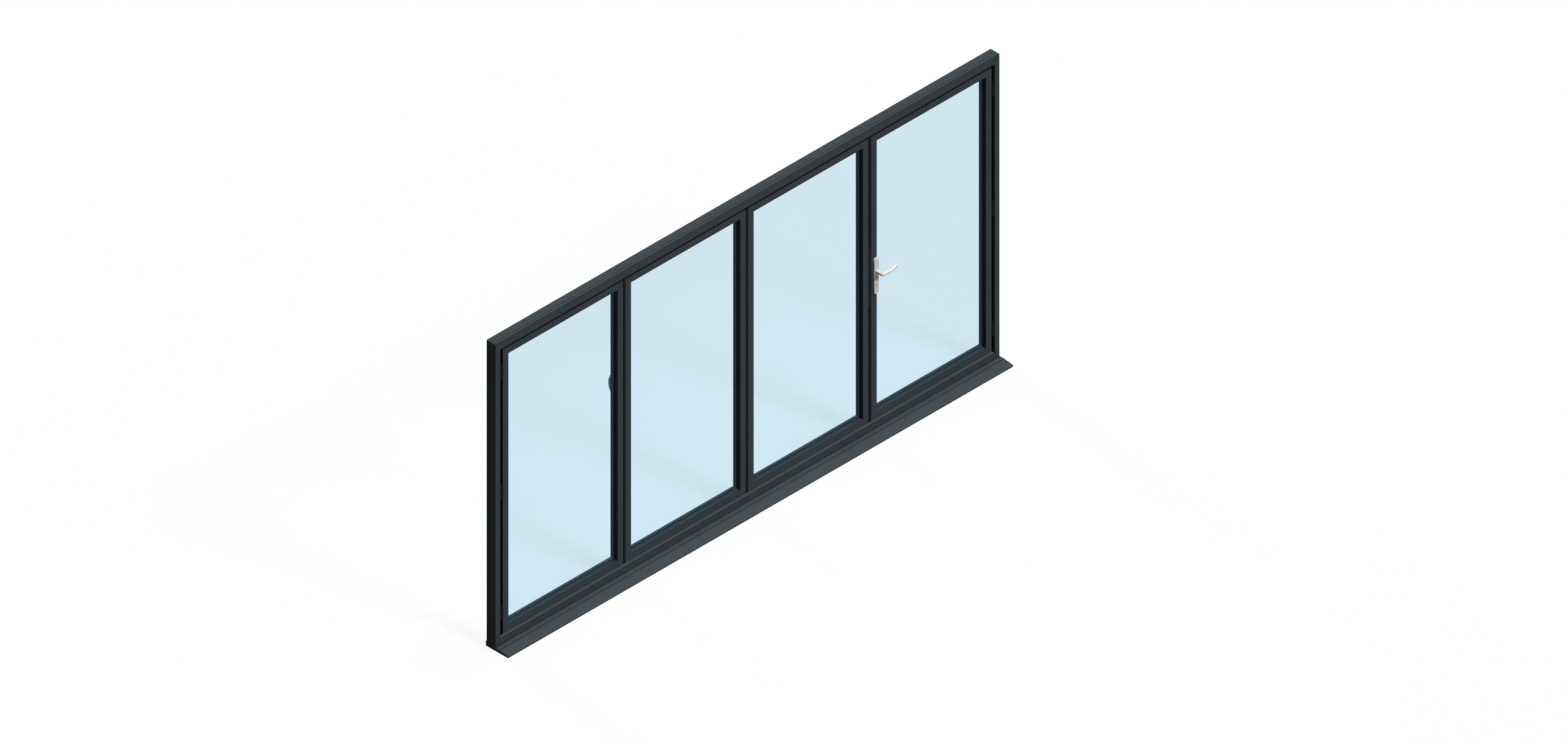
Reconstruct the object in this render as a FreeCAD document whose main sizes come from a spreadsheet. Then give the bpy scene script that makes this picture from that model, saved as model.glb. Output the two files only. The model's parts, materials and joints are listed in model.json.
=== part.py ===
import FreeCAD, Part
import Sketcher

import math
import os
import re

# A four-leaf folding patio door in powder-coated aluminium, closed and seen from outside as -Y.
# Three leaves fold to the left and the fourth is the traffic door, hinged on the right jamb.
# The origin is the middle of the cill's underside, on the middle plane of the outer frame.

SIZES = [
    ("frameWidth", 4000.0, "outer frame, from jamb to jamb"),
    ("frameHeight", 2079.0, "outer frame, above the cill"),
    ("frameDepth", 70.0, "outer frame, outside face to inside face"),
    ("jambFace", 39.5, "sightline of a jamb"),
    ("headFace", 53.0, "sightline of the head"),
    ("sillFace", 45.0, "sightline of the threshold"),
    ("frameWall", 2.0, "wall of the frame extrusions"),
    ("frameEdge", 0.8, "bevel on the frame's visible edges"),
    ("breakFront", 19.0, "outer aluminium shell ends here"),
    ("breakBack", 44.5, "inner aluminium shell starts here"),
    ("jointLine", 1.2, "width and depth of a joint line"),
    ("plugLong", 44.0, "corner plug along the head or threshold"),
    ("plugTall", 51.0, "corner plug along the jamb"),
    ("plugThick", 1.6, "corner plug"),
    ("plugGap", 0.4, "clearance round a corner plug"),
    ("trackSlot", 14.0, "mouth of the roller track in the head"),
    ("trackWidth", 24.0, "roller track inside the head"),
    ("trackLip", 5.0, "lips of the roller track"),
    ("trackDepth", 26.0, "roller track, mouth to top"),
    ("trackSetback", 29.0, "frame face to the middle of the track"),
    ("guideSlot", 12.0, "guide slot in the threshold"),
    ("guideDepth", 10.0, "depth of the guide slot"),
    ("carriageLong", 64.0, "roller carriage"),
    ("carriageHigh", 16.0, "roller carriage"),
    ("carriageGap", 1.0, "carriage to the track on each side"),
    ("hangerRadius", 4.0, "bolt that carries a leaf, or guides it"),
    ("hangerPlate", 4.0, "plate under the carriage on the leaf's edge"),
    ("stopDepth", 18.0, "weather stop, from the frame's inside face"),
    ("stopLap", 10.0, "weather stop laps the leaf by this"),
    ("sealGap", 0.3, "seal stands this far from what it meets"),
    ("sealInset", 2.0, "stop seal ends this far inside the stop's edge"),
    ("cillHeight", 21.0, "cill under the frame"),
    ("cillFlat", 35.5, "level top in front of the frame"),
    ("cillReach", 104.0, "nose in front of the frame"),
    ("cillFall", 8.0, "fall from the flat to the nose"),
    ("cillWall", 2.5, "wall of the cill"),
    ("cillNose", 8.0, "rounding of the nose"),
    ("upstandHeight", 12.0, "upstand behind the frame"),
    ("capThick", 3.5, "end cap of the cill"),
    ("leafSetback", 2.0, "leaf face behind the frame face"),
    ("leafDepth", 48.0, "leaf, outside face to inside face"),
    ("sideGap", 20.5, "jamb to leaf"),
    ("topGap", 12.0, "head to leaf"),
    ("bottomGap", 18.0, "threshold to leaf"),
    ("meetGap", 15.5, "between two folding leaves"),
    ("lockGap", 19.0, "between the third leaf and the traffic door"),
    ("leafFace", 46.0, "sightline of the leaves' stiles and rails"),
    ("leafWall", 2.2, "wall of the leaf extrusions"),
    ("leafEdge", 0.8, "bevel on the leaf's visible edges"),
    ("lipDepth", 12.5, "outer glazing lip, front to back"),
    ("rebateWidth", 15.0, "glazing rebate, across"),
    ("lockRebate", 6.0, "glazing rebate of the stile with the lock"),
    ("grooveStart", 12.3, "hardware groove, from the leaf face"),
    ("grooveWidth", 20.4, "hardware groove in the leaf's edge"),
    ("grooveDepth", 3.2, "hardware groove, depth"),
    ("glazingSeal", 1.5, "glazing gasket on each side of the glass"),
    ("sealWidth", 5.5, "glazing gasket, across"),
    ("paneThick", 4.0, "each sheet of glass"),
    ("paneGap", 8.0, "space between the sheets"),
    ("glassEdge", 2.0, "glass edge to rebate wall"),
    ("spacerCover", 0.5, "spacer bar ends this far behind the outer lip"),
    ("beadStep", 12.0, "bead stands past the outer lip by this"),
    ("beadWall", 1.6, "wall of the glazing bead"),
    ("beadFront", 1.0, "bevel on the bead's corner at the glass"),
    ("beadBack", 2.0, "bevel on the bead's corner in the room"),
    ("beadGap", 0.05, "between two beads at a mitre, half of it"),
    ("hingeHeight", 92.0, "each hinge"),
    ("hingeInset", 150.0, "leaf end to the middle of the outer hinges"),
    ("hingePlate", 3.5, "thickness of a hinge's plates"),
    ("hingeDepth", 5.0, "leaf face to the hinge pin"),
    ("barrelRadius", 7.5, "barrel of a hinge at a jamb"),
    ("slimRadius", 6.0, "barrel of the hinge between leaves 2 and 3"),
    ("pinRadius", 2.5, "hinge pin"),
    ("pinGap", 0.06, "pin in its bore"),
    ("knuckleGap", 0.4, "between two knuckles"),
    ("insideRadius", 7.0, "barrel of the inside hinge"),
    ("insideFlap", 26.0, "flap of the inside hinge, across"),
    ("backset", 34.0, "leaf edge to the lever axis"),
    ("leverHeight", 1104.5, "lever axis above the cill's underside"),
    ("plateWidth", 36.0, "handle plate"),
    ("plateLength", 245.0, "handle plate"),
    ("plateThick", 12.0, "handle plate"),
    ("plateDrop", 35.0, "middle of the plate below the lever axis"),
    ("plateFlat", 0.4, "flat between the rounded corners at the plate's ends"),
    ("plateEdge", 1.5, "bevel round the plate's face"),
    ("keyDrop", 92.0, "lever axis to cylinder axis"),
    ("keyRadius", 8.5, "round part of the lock cylinder"),
    ("keySlot", 10.0, "flat part of the lock cylinder"),
    ("keyLength", 33.0, "height of the lock cylinder's face"),
    ("keyProud", 2.5, "cylinder stands out of the plate"),
    ("fitGap", 0.3, "clearance of fixed parts in their holes"),
    ("spindleSide", 7.0, "square spindle"),
    ("spindleBore", 5.2, "radius of the hole that the spindle turns in"),
    ("neckWidth", 24.0, "neck of the lever, across"),
    ("neckCorner", 12.0, "rounding where the neck turns into the arm"),
    ("armReach", 53.5, "middle of the arm's bow in front of the plate"),
    ("armPeak", 40.0, "lever axis to the furthest point of the bow"),
    ("armRadius", 180.0, "bow of the arm"),
    ("armTrail", 28.0, "the outside arm ends this many degrees towards the door"),
    ("insideTrail", 20.0, "the same for the inside arm, which is shorter"),
    ("armThick", 17.0, "arm, front to back"),
    ("armHigh", 17.0, "neck and arm, up and down"),
    ("armTip", 7.5, "rounding of the arm's end"),
    ("armEdge", 3.5, "bevel along the neck and the arm"),
    ("faceplateWidth", 20.0, "lock faceplate"),
    ("faceplateLength", 420.0, "lock faceplate"),
    ("faceplateThick", 3.0, "lock faceplate"),
    ("keepLength", 200.0, "keep in the third leaf's edge"),
    ("boltHeight", 26.0, "mouth of the latch or the bolt"),
    ("boltWidth", 12.0, "mouth of the latch or the bolt"),
    ("pullHeight", 1303.0, "middle of the inside pull above the cill's underside"),
    ("pullLength", 140.0, "inside pull, end to end"),
    ("pullReach", 47.0, "inside pull, off the leaf"),
    ("pullBend", 36.0, "outer bend of the inside pull"),
    ("pullWide", 12.0, "inside pull, across"),
    ("pullThick", 9.0, "inside pull, thickness"),
    ("pullEdge", 1.5, "bevel along the inside pull"),
    ("frontSealDepth", 3.5, "leaf face to the seal in front"),
    ("frontSealGap", 9.5, "open part of a joint beside the seal in front"),
    ("lockSealGap", 12.0, "the same at the traffic door"),
    ("backSealDepth", 36.0, "leaf face to the seal behind"),
    ("sealLap", 2.0, "the two seals of a joint pass each other by this"),
    ("sealThick", 3.0, "seal between two leaves, front to back"),
    ("toolReach", 1.0, "cutting shapes run past what they cut by this"),
]
ALIASES = {alias for alias, value, note in SIZES}

doc = FreeCAD.newDocument("folding_patio_door")
sheet = doc.addObject("Spreadsheet::Sheet", "Sizes")
for row, (alias, value, note) in enumerate(SIZES, start=1):
    sheet.set(f"A{row}", alias)
    sheet.set(f"B{row}", str(value))
    sheet.set(f"C{row}", note)
    sheet.setAlias(f"B{row}", alias)
doc.recompute()

nodes = []


def formula(text):
    """Puts the sheet's name in front of each alias in a formula."""
    def named(word):
        return "Sizes." + word[0] if word[0] in ALIASES else word[0]

    return re.sub(r"[A-Za-z_]\w*", named, str(text))


def number(text):
    """The present value of a formula, in millimetres or degrees."""
    return float(sheet.evalExpression(formula(text)))


def bind(obj, **formulas):
    """Ties properties to formulas. A property named base_x is Placement.Base.x."""
    for name, text in formulas.items():
        target = "Placement.Base." + name[-1] if name.startswith("base_") else name
        obj.setExpression(target, formula(text))


def place(obj, x, y, z, turn=0.0):
    """Stands a bar at a point: turned about Y by 0 it runs up, by 90 to the right, 180 down, -90 left."""
    obj.Placement = FreeCAD.Placement(
        FreeCAD.Vector(number(x), number(y), number(z)), FreeCAD.Rotation(FreeCAD.Vector(0, 1, 0), turn)
    )
    bind(obj, base_x=x, base_y=y, base_z=z)


def node(obj, label):
    """Keeps an object as a sub-part with its own name."""
    obj.Label = label
    nodes.append(obj)
    return obj


def origin_plane(body, role):
    return next(feature for feature in body.Origin.OriginFeatures if feature.Role == role)


def new_sketch(body, name, role):
    sketch = body.newObject("Sketcher::SketchObject", name)
    sketch.AttachmentSupport = (origin_plane(body, role), [""])
    sketch.MapMode = "FlatFace"
    return sketch


def draw_outline(sketch, points):
    """Adds one closed outline, each corner tied to its two formulas.

    A corner with a third formula starts an arc of that radius, its middle on the left of the way.
    A minus in front of the radius puts the middle on the right.
    """
    first = sketch.GeometryCount
    corners = [FreeCAD.Vector(number(point[0]), number(point[1]), 0) for point in points]
    count = len(points)
    ends = []
    for at, point in enumerate(points):
        here, there = corners[at], corners[(at + 1) % count]
        if len(point) == 2:
            sketch.addGeometry(Part.LineSegment(here, there), False)
            ends.append((1, 2))
            continue
        radius = number(point[2])
        half = (there - here) / 2
        across = FreeCAD.Vector(-half.y, half.x, 0).normalize()
        centre = here + half + across * math.copysign(math.sqrt(radius**2 - half.Length**2), radius)
        circle = Part.Circle(centre, FreeCAD.Vector(0, 0, 1), abs(radius))
        angles = [math.atan2(spot.y - centre.y, spot.x - centre.x) for spot in (here, there)]
        if radius < 0:
            angles.reverse()
        sketch.addGeometry(Part.ArcOfCircle(circle, angles[0], angles[1]), False)
        ends.append((1, 2) if radius > 0 else (2, 1))
    for at, point in enumerate(points):
        following = (at + 1) % count
        joined = (first + at, ends[at][1], first + following, ends[following][0])
        sketch.addConstraint(Sketcher.Constraint("Coincident", *joined))
        tied = [("DistanceX", point[0], corners[at].x), ("DistanceY", point[1], corners[at].y)]
        for kind, text, value in tied:
            place_of = (-1, 1, first + at, ends[at][0])
            index = sketch.addConstraint(Sketcher.Constraint(kind, *place_of, value))
            sketch.setExpression(f"Constraints[{index}]", formula(text))
        if len(point) == 3:
            index = sketch.addConstraint(Sketcher.Constraint("Radius", first + at, abs(number(point[2]))))
            sketch.setExpression(f"Constraints[{index}]", formula(f"abs({point[2]})"))


def draw_hole(sketch, x, y, radius):
    """Adds a circle whose middle and radius are tied to formulas."""
    at = sketch.GeometryCount
    centre = FreeCAD.Vector(number(x), number(y), 0)
    sketch.addGeometry(Part.Circle(centre, FreeCAD.Vector(0, 0, 1), number(radius)), False)
    for kind, text, value in (("DistanceX", x, centre.x), ("DistanceY", y, centre.y)):
        index = sketch.addConstraint(Sketcher.Constraint(kind, -1, 1, at, 3, value))
        sketch.setExpression(f"Constraints[{index}]", formula(text))
    index = sketch.addConstraint(Sketcher.Constraint("Radius", at, number(radius)))
    sketch.setExpression(f"Constraints[{index}]", formula(radius))


def rectangle(x0, y0, x1, y1):
    return [(x0, y0), (x1, y0), (x1, y1), (x0, y1)]


def pad(body, sketch, length, name):
    feature = body.newObject("PartDesign::Pad", name)
    feature.Profile = (sketch, [""])
    bind(feature, Length=length)
    return feature


def cut_through(body, sketch, name):
    """Cuts a sketch on the front plane right through, from the front to the back."""
    before = body.Tip.Shape.Volume if not body.Tip.Shape.isNull() else 0.0
    feature = body.newObject("PartDesign::Pocket", name)
    feature.Profile = (sketch, [""])
    feature.Type = "ThroughAll"
    doc.recompute()
    if feature.Shape.Volume >= before:
        raise RuntimeError(f"{name} cuts nothing")
    return feature


def dress(body, kind, name, size, wanted):
    """Rounds ("Fillet") or bevels ("Chamfer") a body's edges whose middles are wanted, in its own place."""
    base = body.Tip
    edges = []
    for at, edge in enumerate(base.Shape.Edges, start=1):
        if wanted(edge.valueAt((edge.FirstParameter + edge.LastParameter) / 2)):
            edges.append(f"Edge{at}")
    if not edges:
        raise RuntimeError(f"{name} finds no edge")
    feature = body.newObject("PartDesign::" + kind, name)
    feature.Base = (base, edges)
    bind(feature, **{"Radius" if kind == "Fillet" else "Size": size})
    doc.recompute()
    return feature


def near(value, text):
    return abs(value - number(text)) < 0.01


def bar(name, outline, chambers, length, face="0", start="0", end="0", gap="0"):
    """An extrusion that runs up from the origin: x is across, y is front to back.

    face is its own sightline, and start and end are its neighbours' sightlines where it is mitred.
    A gap leaves its mitres that much short.
    """
    body = doc.addObject("PartDesign::Body", name)
    section = new_sketch(body, name + "_section", "XY_Plane")
    draw_outline(section, outline)
    for chamber in chambers:
        draw_outline(section, chamber)
    pad(body, section, length, name + "_extrusion")
    doc.recompute()
    mitres = []
    if start != "0":
        mitres.append([("0", "0"), (face, "0"), (face, f"{start} + {gap}")])
    if end != "0":
        mitres.append([("0", length), (face, length), (face, f"{length} - {end} - {gap}")])
    if gap != "0":
        mitres[0].append(("0", gap))
        mitres[-1].append(("0", f"{length} - {gap}"))
    for at, triangle in enumerate(mitres):
        sketch = new_sketch(body, f"{name}_mitre_line_{at}", "XZ_Plane")
        draw_outline(sketch, triangle)
        doc.recompute()
        cut_through(body, sketch, f"{name}_mitre_{at}")
    return body


def box(name, x, y, z, dx, dy, dz):
    """A block from its lowest corner and its three sizes."""
    obj = doc.addObject("Part::Box", name)
    bind(obj, Length=dx, Width=dy, Height=dz)
    place(obj, x, y, z)
    return obj


def round_bar(name, x, y, z, radius, length, axis="z"):
    """A cylinder from the middle of its lower or front end, along +Z or +Y."""
    obj = doc.addObject("Part::Cylinder", name)
    bind(obj, Radius=radius, Height=length)
    turn = FreeCAD.Rotation() if axis == "z" else FreeCAD.Rotation(FreeCAD.Vector(1, 0, 0), -90)
    obj.Placement = FreeCAD.Placement(FreeCAD.Vector(number(x), number(y), number(z)), turn)
    bind(obj, base_x=x, base_y=y, base_z=z)
    return obj


def fuse(name, pieces):
    obj = doc.addObject("Part::MultiFuse", name)
    obj.Shapes = pieces
    return obj


def cut(name, base, tool):
    obj = doc.addObject("Part::Cut", name)
    obj.Base = base
    obj.Tool = tool
    return obj


def group(name, pieces):
    """Several like solids that share one sub-part."""
    obj = doc.addObject("Part::Compound", name)
    obj.Links = pieces
    return obj


# Places that the pieces share, worked out from the driving sizes
LEFT = "(-frameWidth / 2)"
RIGHT = "(frameWidth / 2)"
FRONT = "(-frameDepth / 2)"
BACK = "(frameDepth / 2)"
FRAME_TOP = "(cillHeight + frameHeight)"
OPEN_LEFT = f"({LEFT} + jambFace)"
OPEN_RIGHT = f"({RIGHT} - jambFace)"
OPEN_BOTTOM = "(cillHeight + sillFace)"
OPEN_TOP = f"({FRAME_TOP} - headFace)"
LEAF_FRONT = f"({FRONT} + leafSetback)"
LEAF_BACK = f"({LEAF_FRONT} + leafDepth)"
LEAF_BOTTOM = f"({OPEN_BOTTOM} + bottomGap)"
LEAF_TOP = f"({OPEN_TOP} - topGap)"
LEAF_HEIGHT = f"({LEAF_TOP} - {LEAF_BOTTOM})"
LEAF_WIDTH = "((frameWidth - 2 * jambFace - 2 * sideGap - 2 * meetGap - lockGap) / 4)"
GLASS_FRONT = "(lipDepth + glazingSeal)"
UNIT_THICK = "(2 * paneThick + paneGap)"
BEAD_FRONT = f"({GLASS_FRONT} + {UNIT_THICK} + glazingSeal)"
STOP_FRONT = f"({BACK} - stopDepth)"
HINGE_Y = f"({LEAF_FRONT} + hingeDepth)"


def leaf_left(at):
    """Left edge of leaf 0 to 3."""
    gaps = ("0", "meetGap", "2 * meetGap", "2 * meetGap + lockGap")[at]
    return f"({OPEN_LEFT} + sideGap + {at} * {LEAF_WIDTH} + {gaps})"


def leaf_right(at):
    return f"({leaf_left(at)} + {LEAF_WIDTH})"


def frame_outline(face, line_at):
    """Frame section without its grooves: x from the outer face inward, y from outside to inside."""
    return [
        ("frameEdge", "0"),
        (f"{face} - frameEdge", "0"),
        (face, "frameEdge"),
        (face, "frameDepth"),
        ("0", "frameDepth"),
        ("0", f"{line_at} + jointLine"),
        ("jointLine", f"{line_at} + jointLine"),
        ("jointLine", line_at),
        ("0", line_at),
        ("0", "frameEdge"),
    ]


def corner_angle(name, at_right, at_top, long, tall, thick, y, depth, off):
    """An angle round one outer corner of the frame; off is how far it lies inside the two faces."""
    x0 = f"({RIGHT} - {long})" if at_right else f"({LEFT} + {off})"
    z_flat = f"({FRAME_TOP} - {thick} - {off})" if at_top else f"(cillHeight + {off})"
    x_upright = f"({RIGHT} - {thick} - {off})" if at_right else f"({LEFT} + {off})"
    z0 = f"({FRAME_TOP} - {tall})" if at_top else f"(cillHeight + {off})"
    return fuse(name, [
        box(name + "_flat", x0, y, z_flat, f"{long} - {off}", depth, thick),
        box(name + "_upright", x_upright, y, z0, thick, depth, f"{tall} - {off}"),
    ])


def build_corners():
    """Notches at the frame's four corners, in the isolating part, and the plugs that fill them."""
    corners = []
    y = f"({FRONT} + breakFront)"
    depth = "(breakBack - breakFront)"
    for side, at_right in (("left", False), ("right", True)):
        for end, at_top in (("bottom", False), ("top", True)):
            deep = "(plugThick + plugGap)"
            notch = corner_angle(
                f"notch_{side}_{end}", at_right, at_top, "plugLong", "plugTall", deep, y, depth, "0"
            )
            plug = corner_angle(
                f"plug_{side}_{end}",
                at_right,
                at_top,
                "(plugLong - plugGap)",
                "(plugTall - plugGap)",
                "plugThick",
                f"({y} + plugGap)",
                f"({depth} - 2 * plugGap)",
                "plugGap / 2",
            )
            corners.append((notch, plug))
    node(group("frame_corner_plugs", [plug for notch, plug in corners]), "frame_corner_plugs")
    return corners


def build_jambs():
    """Left and right jamb, three chambers each, mitred to the head and the threshold."""
    inner = "jambFace - frameWall"
    outer = "jointLine + frameWall"
    chambers = [
        rectangle("frameWall", "frameWall", inner, "breakFront - frameWall / 2"),
        rectangle(outer, "breakFront + frameWall / 2", inner, "breakBack - frameWall / 2"),
        rectangle(outer, "breakBack + jointLine + frameWall / 2", inner, "frameDepth - frameWall"),
    ]
    outline = frame_outline("jambFace", "breakBack")
    for name, x, z, turn, start, end in (
        ("jamb_left", LEFT, "cillHeight", 0, "sillFace", "headFace"),
        ("jamb_right", RIGHT, FRAME_TOP, 180, "headFace", "sillFace"),
    ):
        body = bar(name + "_bar", outline, chambers, "frameHeight", "jambFace", start, end)
        place(body, x, FRONT, z, turn)
        side = "left" if x == LEFT else "right"
        notches = [notch for notch, plug in CORNERS if side in notch.Name]
        node(cut(name + "_notched", body, fuse(name + "_notches", notches)), name)


def build_head():
    """Head with the roller track open downwards."""
    middle = "trackSetback"
    slot_near = f"{middle} - trackSlot / 2"
    slot_far = f"{middle} + trackSlot / 2"
    wide_near = f"{middle} - trackWidth / 2"
    wide_far = f"{middle} + trackWidth / 2"
    lip = "headFace - trackLip"
    roof = "headFace - trackDepth"
    outline = [
        ("frameEdge", "0"),
        ("headFace - frameEdge", "0"),
        ("headFace", "frameEdge"),
        ("headFace", slot_near),
        (lip, slot_near),
        (lip, wide_near),
        (roof, wide_near),
        (roof, wide_far),
        (lip, wide_far),
        (lip, slot_far),
        ("headFace", slot_far),
        ("headFace", "frameDepth"),
        ("0", "frameDepth"),
        ("0", "breakFront + jointLine"),
        ("jointLine", "breakFront + jointLine"),
        ("jointLine", "breakFront"),
        ("0", "breakFront"),
        ("0", "frameEdge"),
    ]
    chambers = [
        rectangle("jointLine + frameWall", "frameWall", f"{roof} - frameWall", "frameDepth - frameWall"),
        rectangle(roof, "frameWall", "headFace - frameWall", f"{wide_near} - frameWall"),
        rectangle(roof, f"{wide_far} + frameWall", "headFace - frameWall", "frameDepth - frameWall"),
    ]
    body = bar("head_bar", outline, chambers, "frameWidth", "headFace", "jambFace", "jambFace")
    place(body, LEFT, FRONT, FRAME_TOP, 90)
    notches = [notch for notch, plug in CORNERS if "top" in notch.Name]
    node(cut("head_notched", body, fuse("head_notches", notches)), "head")


def build_threshold():
    """Threshold with the guide slot open upwards."""
    near = "trackSetback - guideSlot / 2"
    far = "trackSetback + guideSlot / 2"
    floor = "sillFace - guideDepth"
    outline = [
        ("frameEdge", "0"),
        ("sillFace - frameEdge", "0"),
        ("sillFace", "frameEdge"),
        ("sillFace", near),
        (floor, near),
        (floor, far),
        ("sillFace", far),
        ("sillFace", "frameDepth"),
        ("0", "frameDepth"),
        ("0", "frameEdge"),
    ]
    chambers = [
        rectangle("frameWall", "frameWall", "sillFace - frameWall", f"{near} - frameWall"),
        rectangle("frameWall", near, f"{floor} - frameWall", far),
        rectangle("frameWall", f"{far} + frameWall", "sillFace - frameWall", "frameDepth - frameWall"),
    ]
    body = bar("threshold_bar", outline, chambers, "frameWidth", "sillFace", "jambFace", "jambFace")
    place(body, RIGHT, FRONT, "cillHeight", -90)
    notches = [notch for notch, plug in CORNERS if "bottom" in notch.Name]
    node(cut("threshold_notched", body, fuse("threshold_notches", notches)), "threshold")


def build_stops():
    """Weather stops clipped round the opening behind the leaves, and the seals on them."""
    side = "(sideGap + stopLap)"
    top = "(topGap + stopLap)"
    bottom = "(bottomGap + stopLap)"
    wall = "frameWall"

    def stop(name, reach, length):
        outline = rectangle("0", "0", reach, "stopDepth")
        chamber = rectangle(wall, wall, f"{reach} - {wall}", f"stopDepth - {wall}")
        return bar(name, outline, [chamber], length)

    height = f"({OPEN_TOP} - {OPEN_BOTTOM})"
    width = f"({OPEN_RIGHT} - {OPEN_LEFT} - 2 * {side})"
    left = stop("stop_left", side, height)
    place(left, OPEN_LEFT, STOP_FRONT, OPEN_BOTTOM)
    right = stop("stop_right", side, height)
    place(right, OPEN_RIGHT, STOP_FRONT, OPEN_TOP, 180)
    over = stop("stop_top", top, width)
    place(over, f"{OPEN_LEFT} + {side}", STOP_FRONT, OPEN_TOP, 90)
    under = stop("stop_bottom", bottom, width)
    place(under, f"{OPEN_RIGHT} - {side}", STOP_FRONT, OPEN_BOTTOM, -90)
    node(group("weather_stops", [left, right, over, under]), "weather_stops")

    around = [
        f"({OPEN_LEFT} + sideGap + sealGap)",
        f"({OPEN_RIGHT} - sideGap - sealGap)",
        f"({LEAF_BOTTOM} + sealGap)",
        f"({LEAF_TOP} - sealGap)",
    ]
    start = f"({LEAF_BACK} + sealGap)"
    seal = ring("stop_seal", around, grown(around, "sealInset - stopLap"), start, f"{STOP_FRONT} - {start}")
    node(seal, "stop_seal")


def build_cill():
    """Cill with its sloping nose, open underneath in front, and an end cap at each end."""
    back = "(frameDepth + cillWall)"
    inner_nose = "(-cillReach + cillWall + cillNose / 2)"
    fall = "cillFall / (cillReach - cillWall - cillFlat)"
    outline = [
        ("-cillReach", "0"),
        ("-cillReach + cillWall", "0"),
        ("-cillReach + cillWall", "cillHeight - cillFall - cillWall - cillNose / 2"),
        (inner_nose, f"cillHeight - cillFall - cillWall + ({inner_nose} + cillReach - cillWall) * {fall}"),
        ("-cillFlat", "cillHeight - cillWall"),
        ("0", "cillHeight - cillWall"),
        ("0", "0"),
        (back, "0"),
        (back, "cillHeight + upstandHeight"),
        ("frameDepth", "cillHeight + upstandHeight"),
        ("frameDepth", "cillHeight"),
        ("-cillFlat", "cillHeight"),
        ("-cillReach", "cillHeight - cillFall"),
    ]

    def at_nose(point):
        return near(point.y, "-cillReach") and near(point.z, "cillHeight - cillFall")

    middle = "frameDepth / 2"
    chambers = [
        rectangle("cillWall", "cillWall", f"{middle} - cillWall / 2", "cillHeight - cillWall"),
        rectangle(f"{middle} + cillWall / 2", "cillWall", "frameDepth", "cillHeight - cillWall"),
    ]
    body = doc.addObject("PartDesign::Body", "cill")
    section = new_sketch(body, "cill_section", "YZ_Plane")
    draw_outline(section, outline)
    for chamber in chambers:
        draw_outline(section, chamber)
    pad(body, section, "frameWidth", "cill_extrusion")
    doc.recompute()
    place(body, LEFT, FRONT, "0")
    dress(body, "Fillet", "cill_nose", "cillNose", at_nose)
    node(body, "cill")

    caps = []
    for name, x in (("cap_left", f"{LEFT} - capThick"), ("cap_right", RIGHT)):
        cap = doc.addObject("PartDesign::Body", name)
        outline_sketch = new_sketch(cap, name + "_outline", "YZ_Plane")
        draw_outline(outline_sketch, [
            ("-cillReach", "0"),
            (back, "0"),
            (back, "cillHeight + upstandHeight"),
            ("frameDepth", "cillHeight + upstandHeight"),
            ("frameDepth", "cillHeight"),
            ("-cillFlat", "cillHeight"),
            ("-cillReach", "cillHeight - cillFall"),
        ])
        pad(cap, outline_sketch, "capThick", name + "_plate")
        doc.recompute()
        place(cap, x, FRONT, "0")
        dress(cap, "Fillet", name + "_nose", "cillNose", at_nose)
        caps.append(cap)
    node(group("cill_end_caps", caps), "cill_end_caps")


def leaf_outline(face, rebate):
    """Leaf section: tube, outer glazing lip and hardware groove; x from the edge inward."""
    wall = f"{face} - {rebate}"
    return [
        ("leafEdge", "0"),
        (f"{face} - leafEdge", "0"),
        (face, "leafEdge"),
        (face, "lipDepth"),
        (wall, "lipDepth"),
        (wall, "leafDepth"),
        ("0", "leafDepth"),
        ("0", "grooveStart + grooveWidth"),
        ("grooveDepth", "grooveStart + grooveWidth"),
        ("grooveDepth", "grooveStart"),
        ("0", "grooveStart"),
        ("0", "leafEdge"),
    ]


def leaf_member(name, length, rebate="rebateWidth"):
    """A mitred stile or rail, before it is placed."""
    inner = f"leafFace - {rebate} - leafWall"
    chamber = rectangle("grooveDepth + leafWall", "leafWall", inner, "leafDepth - leafWall")
    return bar(name, leaf_outline("leafFace", rebate), [chamber], length, "leafFace", "leafFace", "leafFace")


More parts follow.
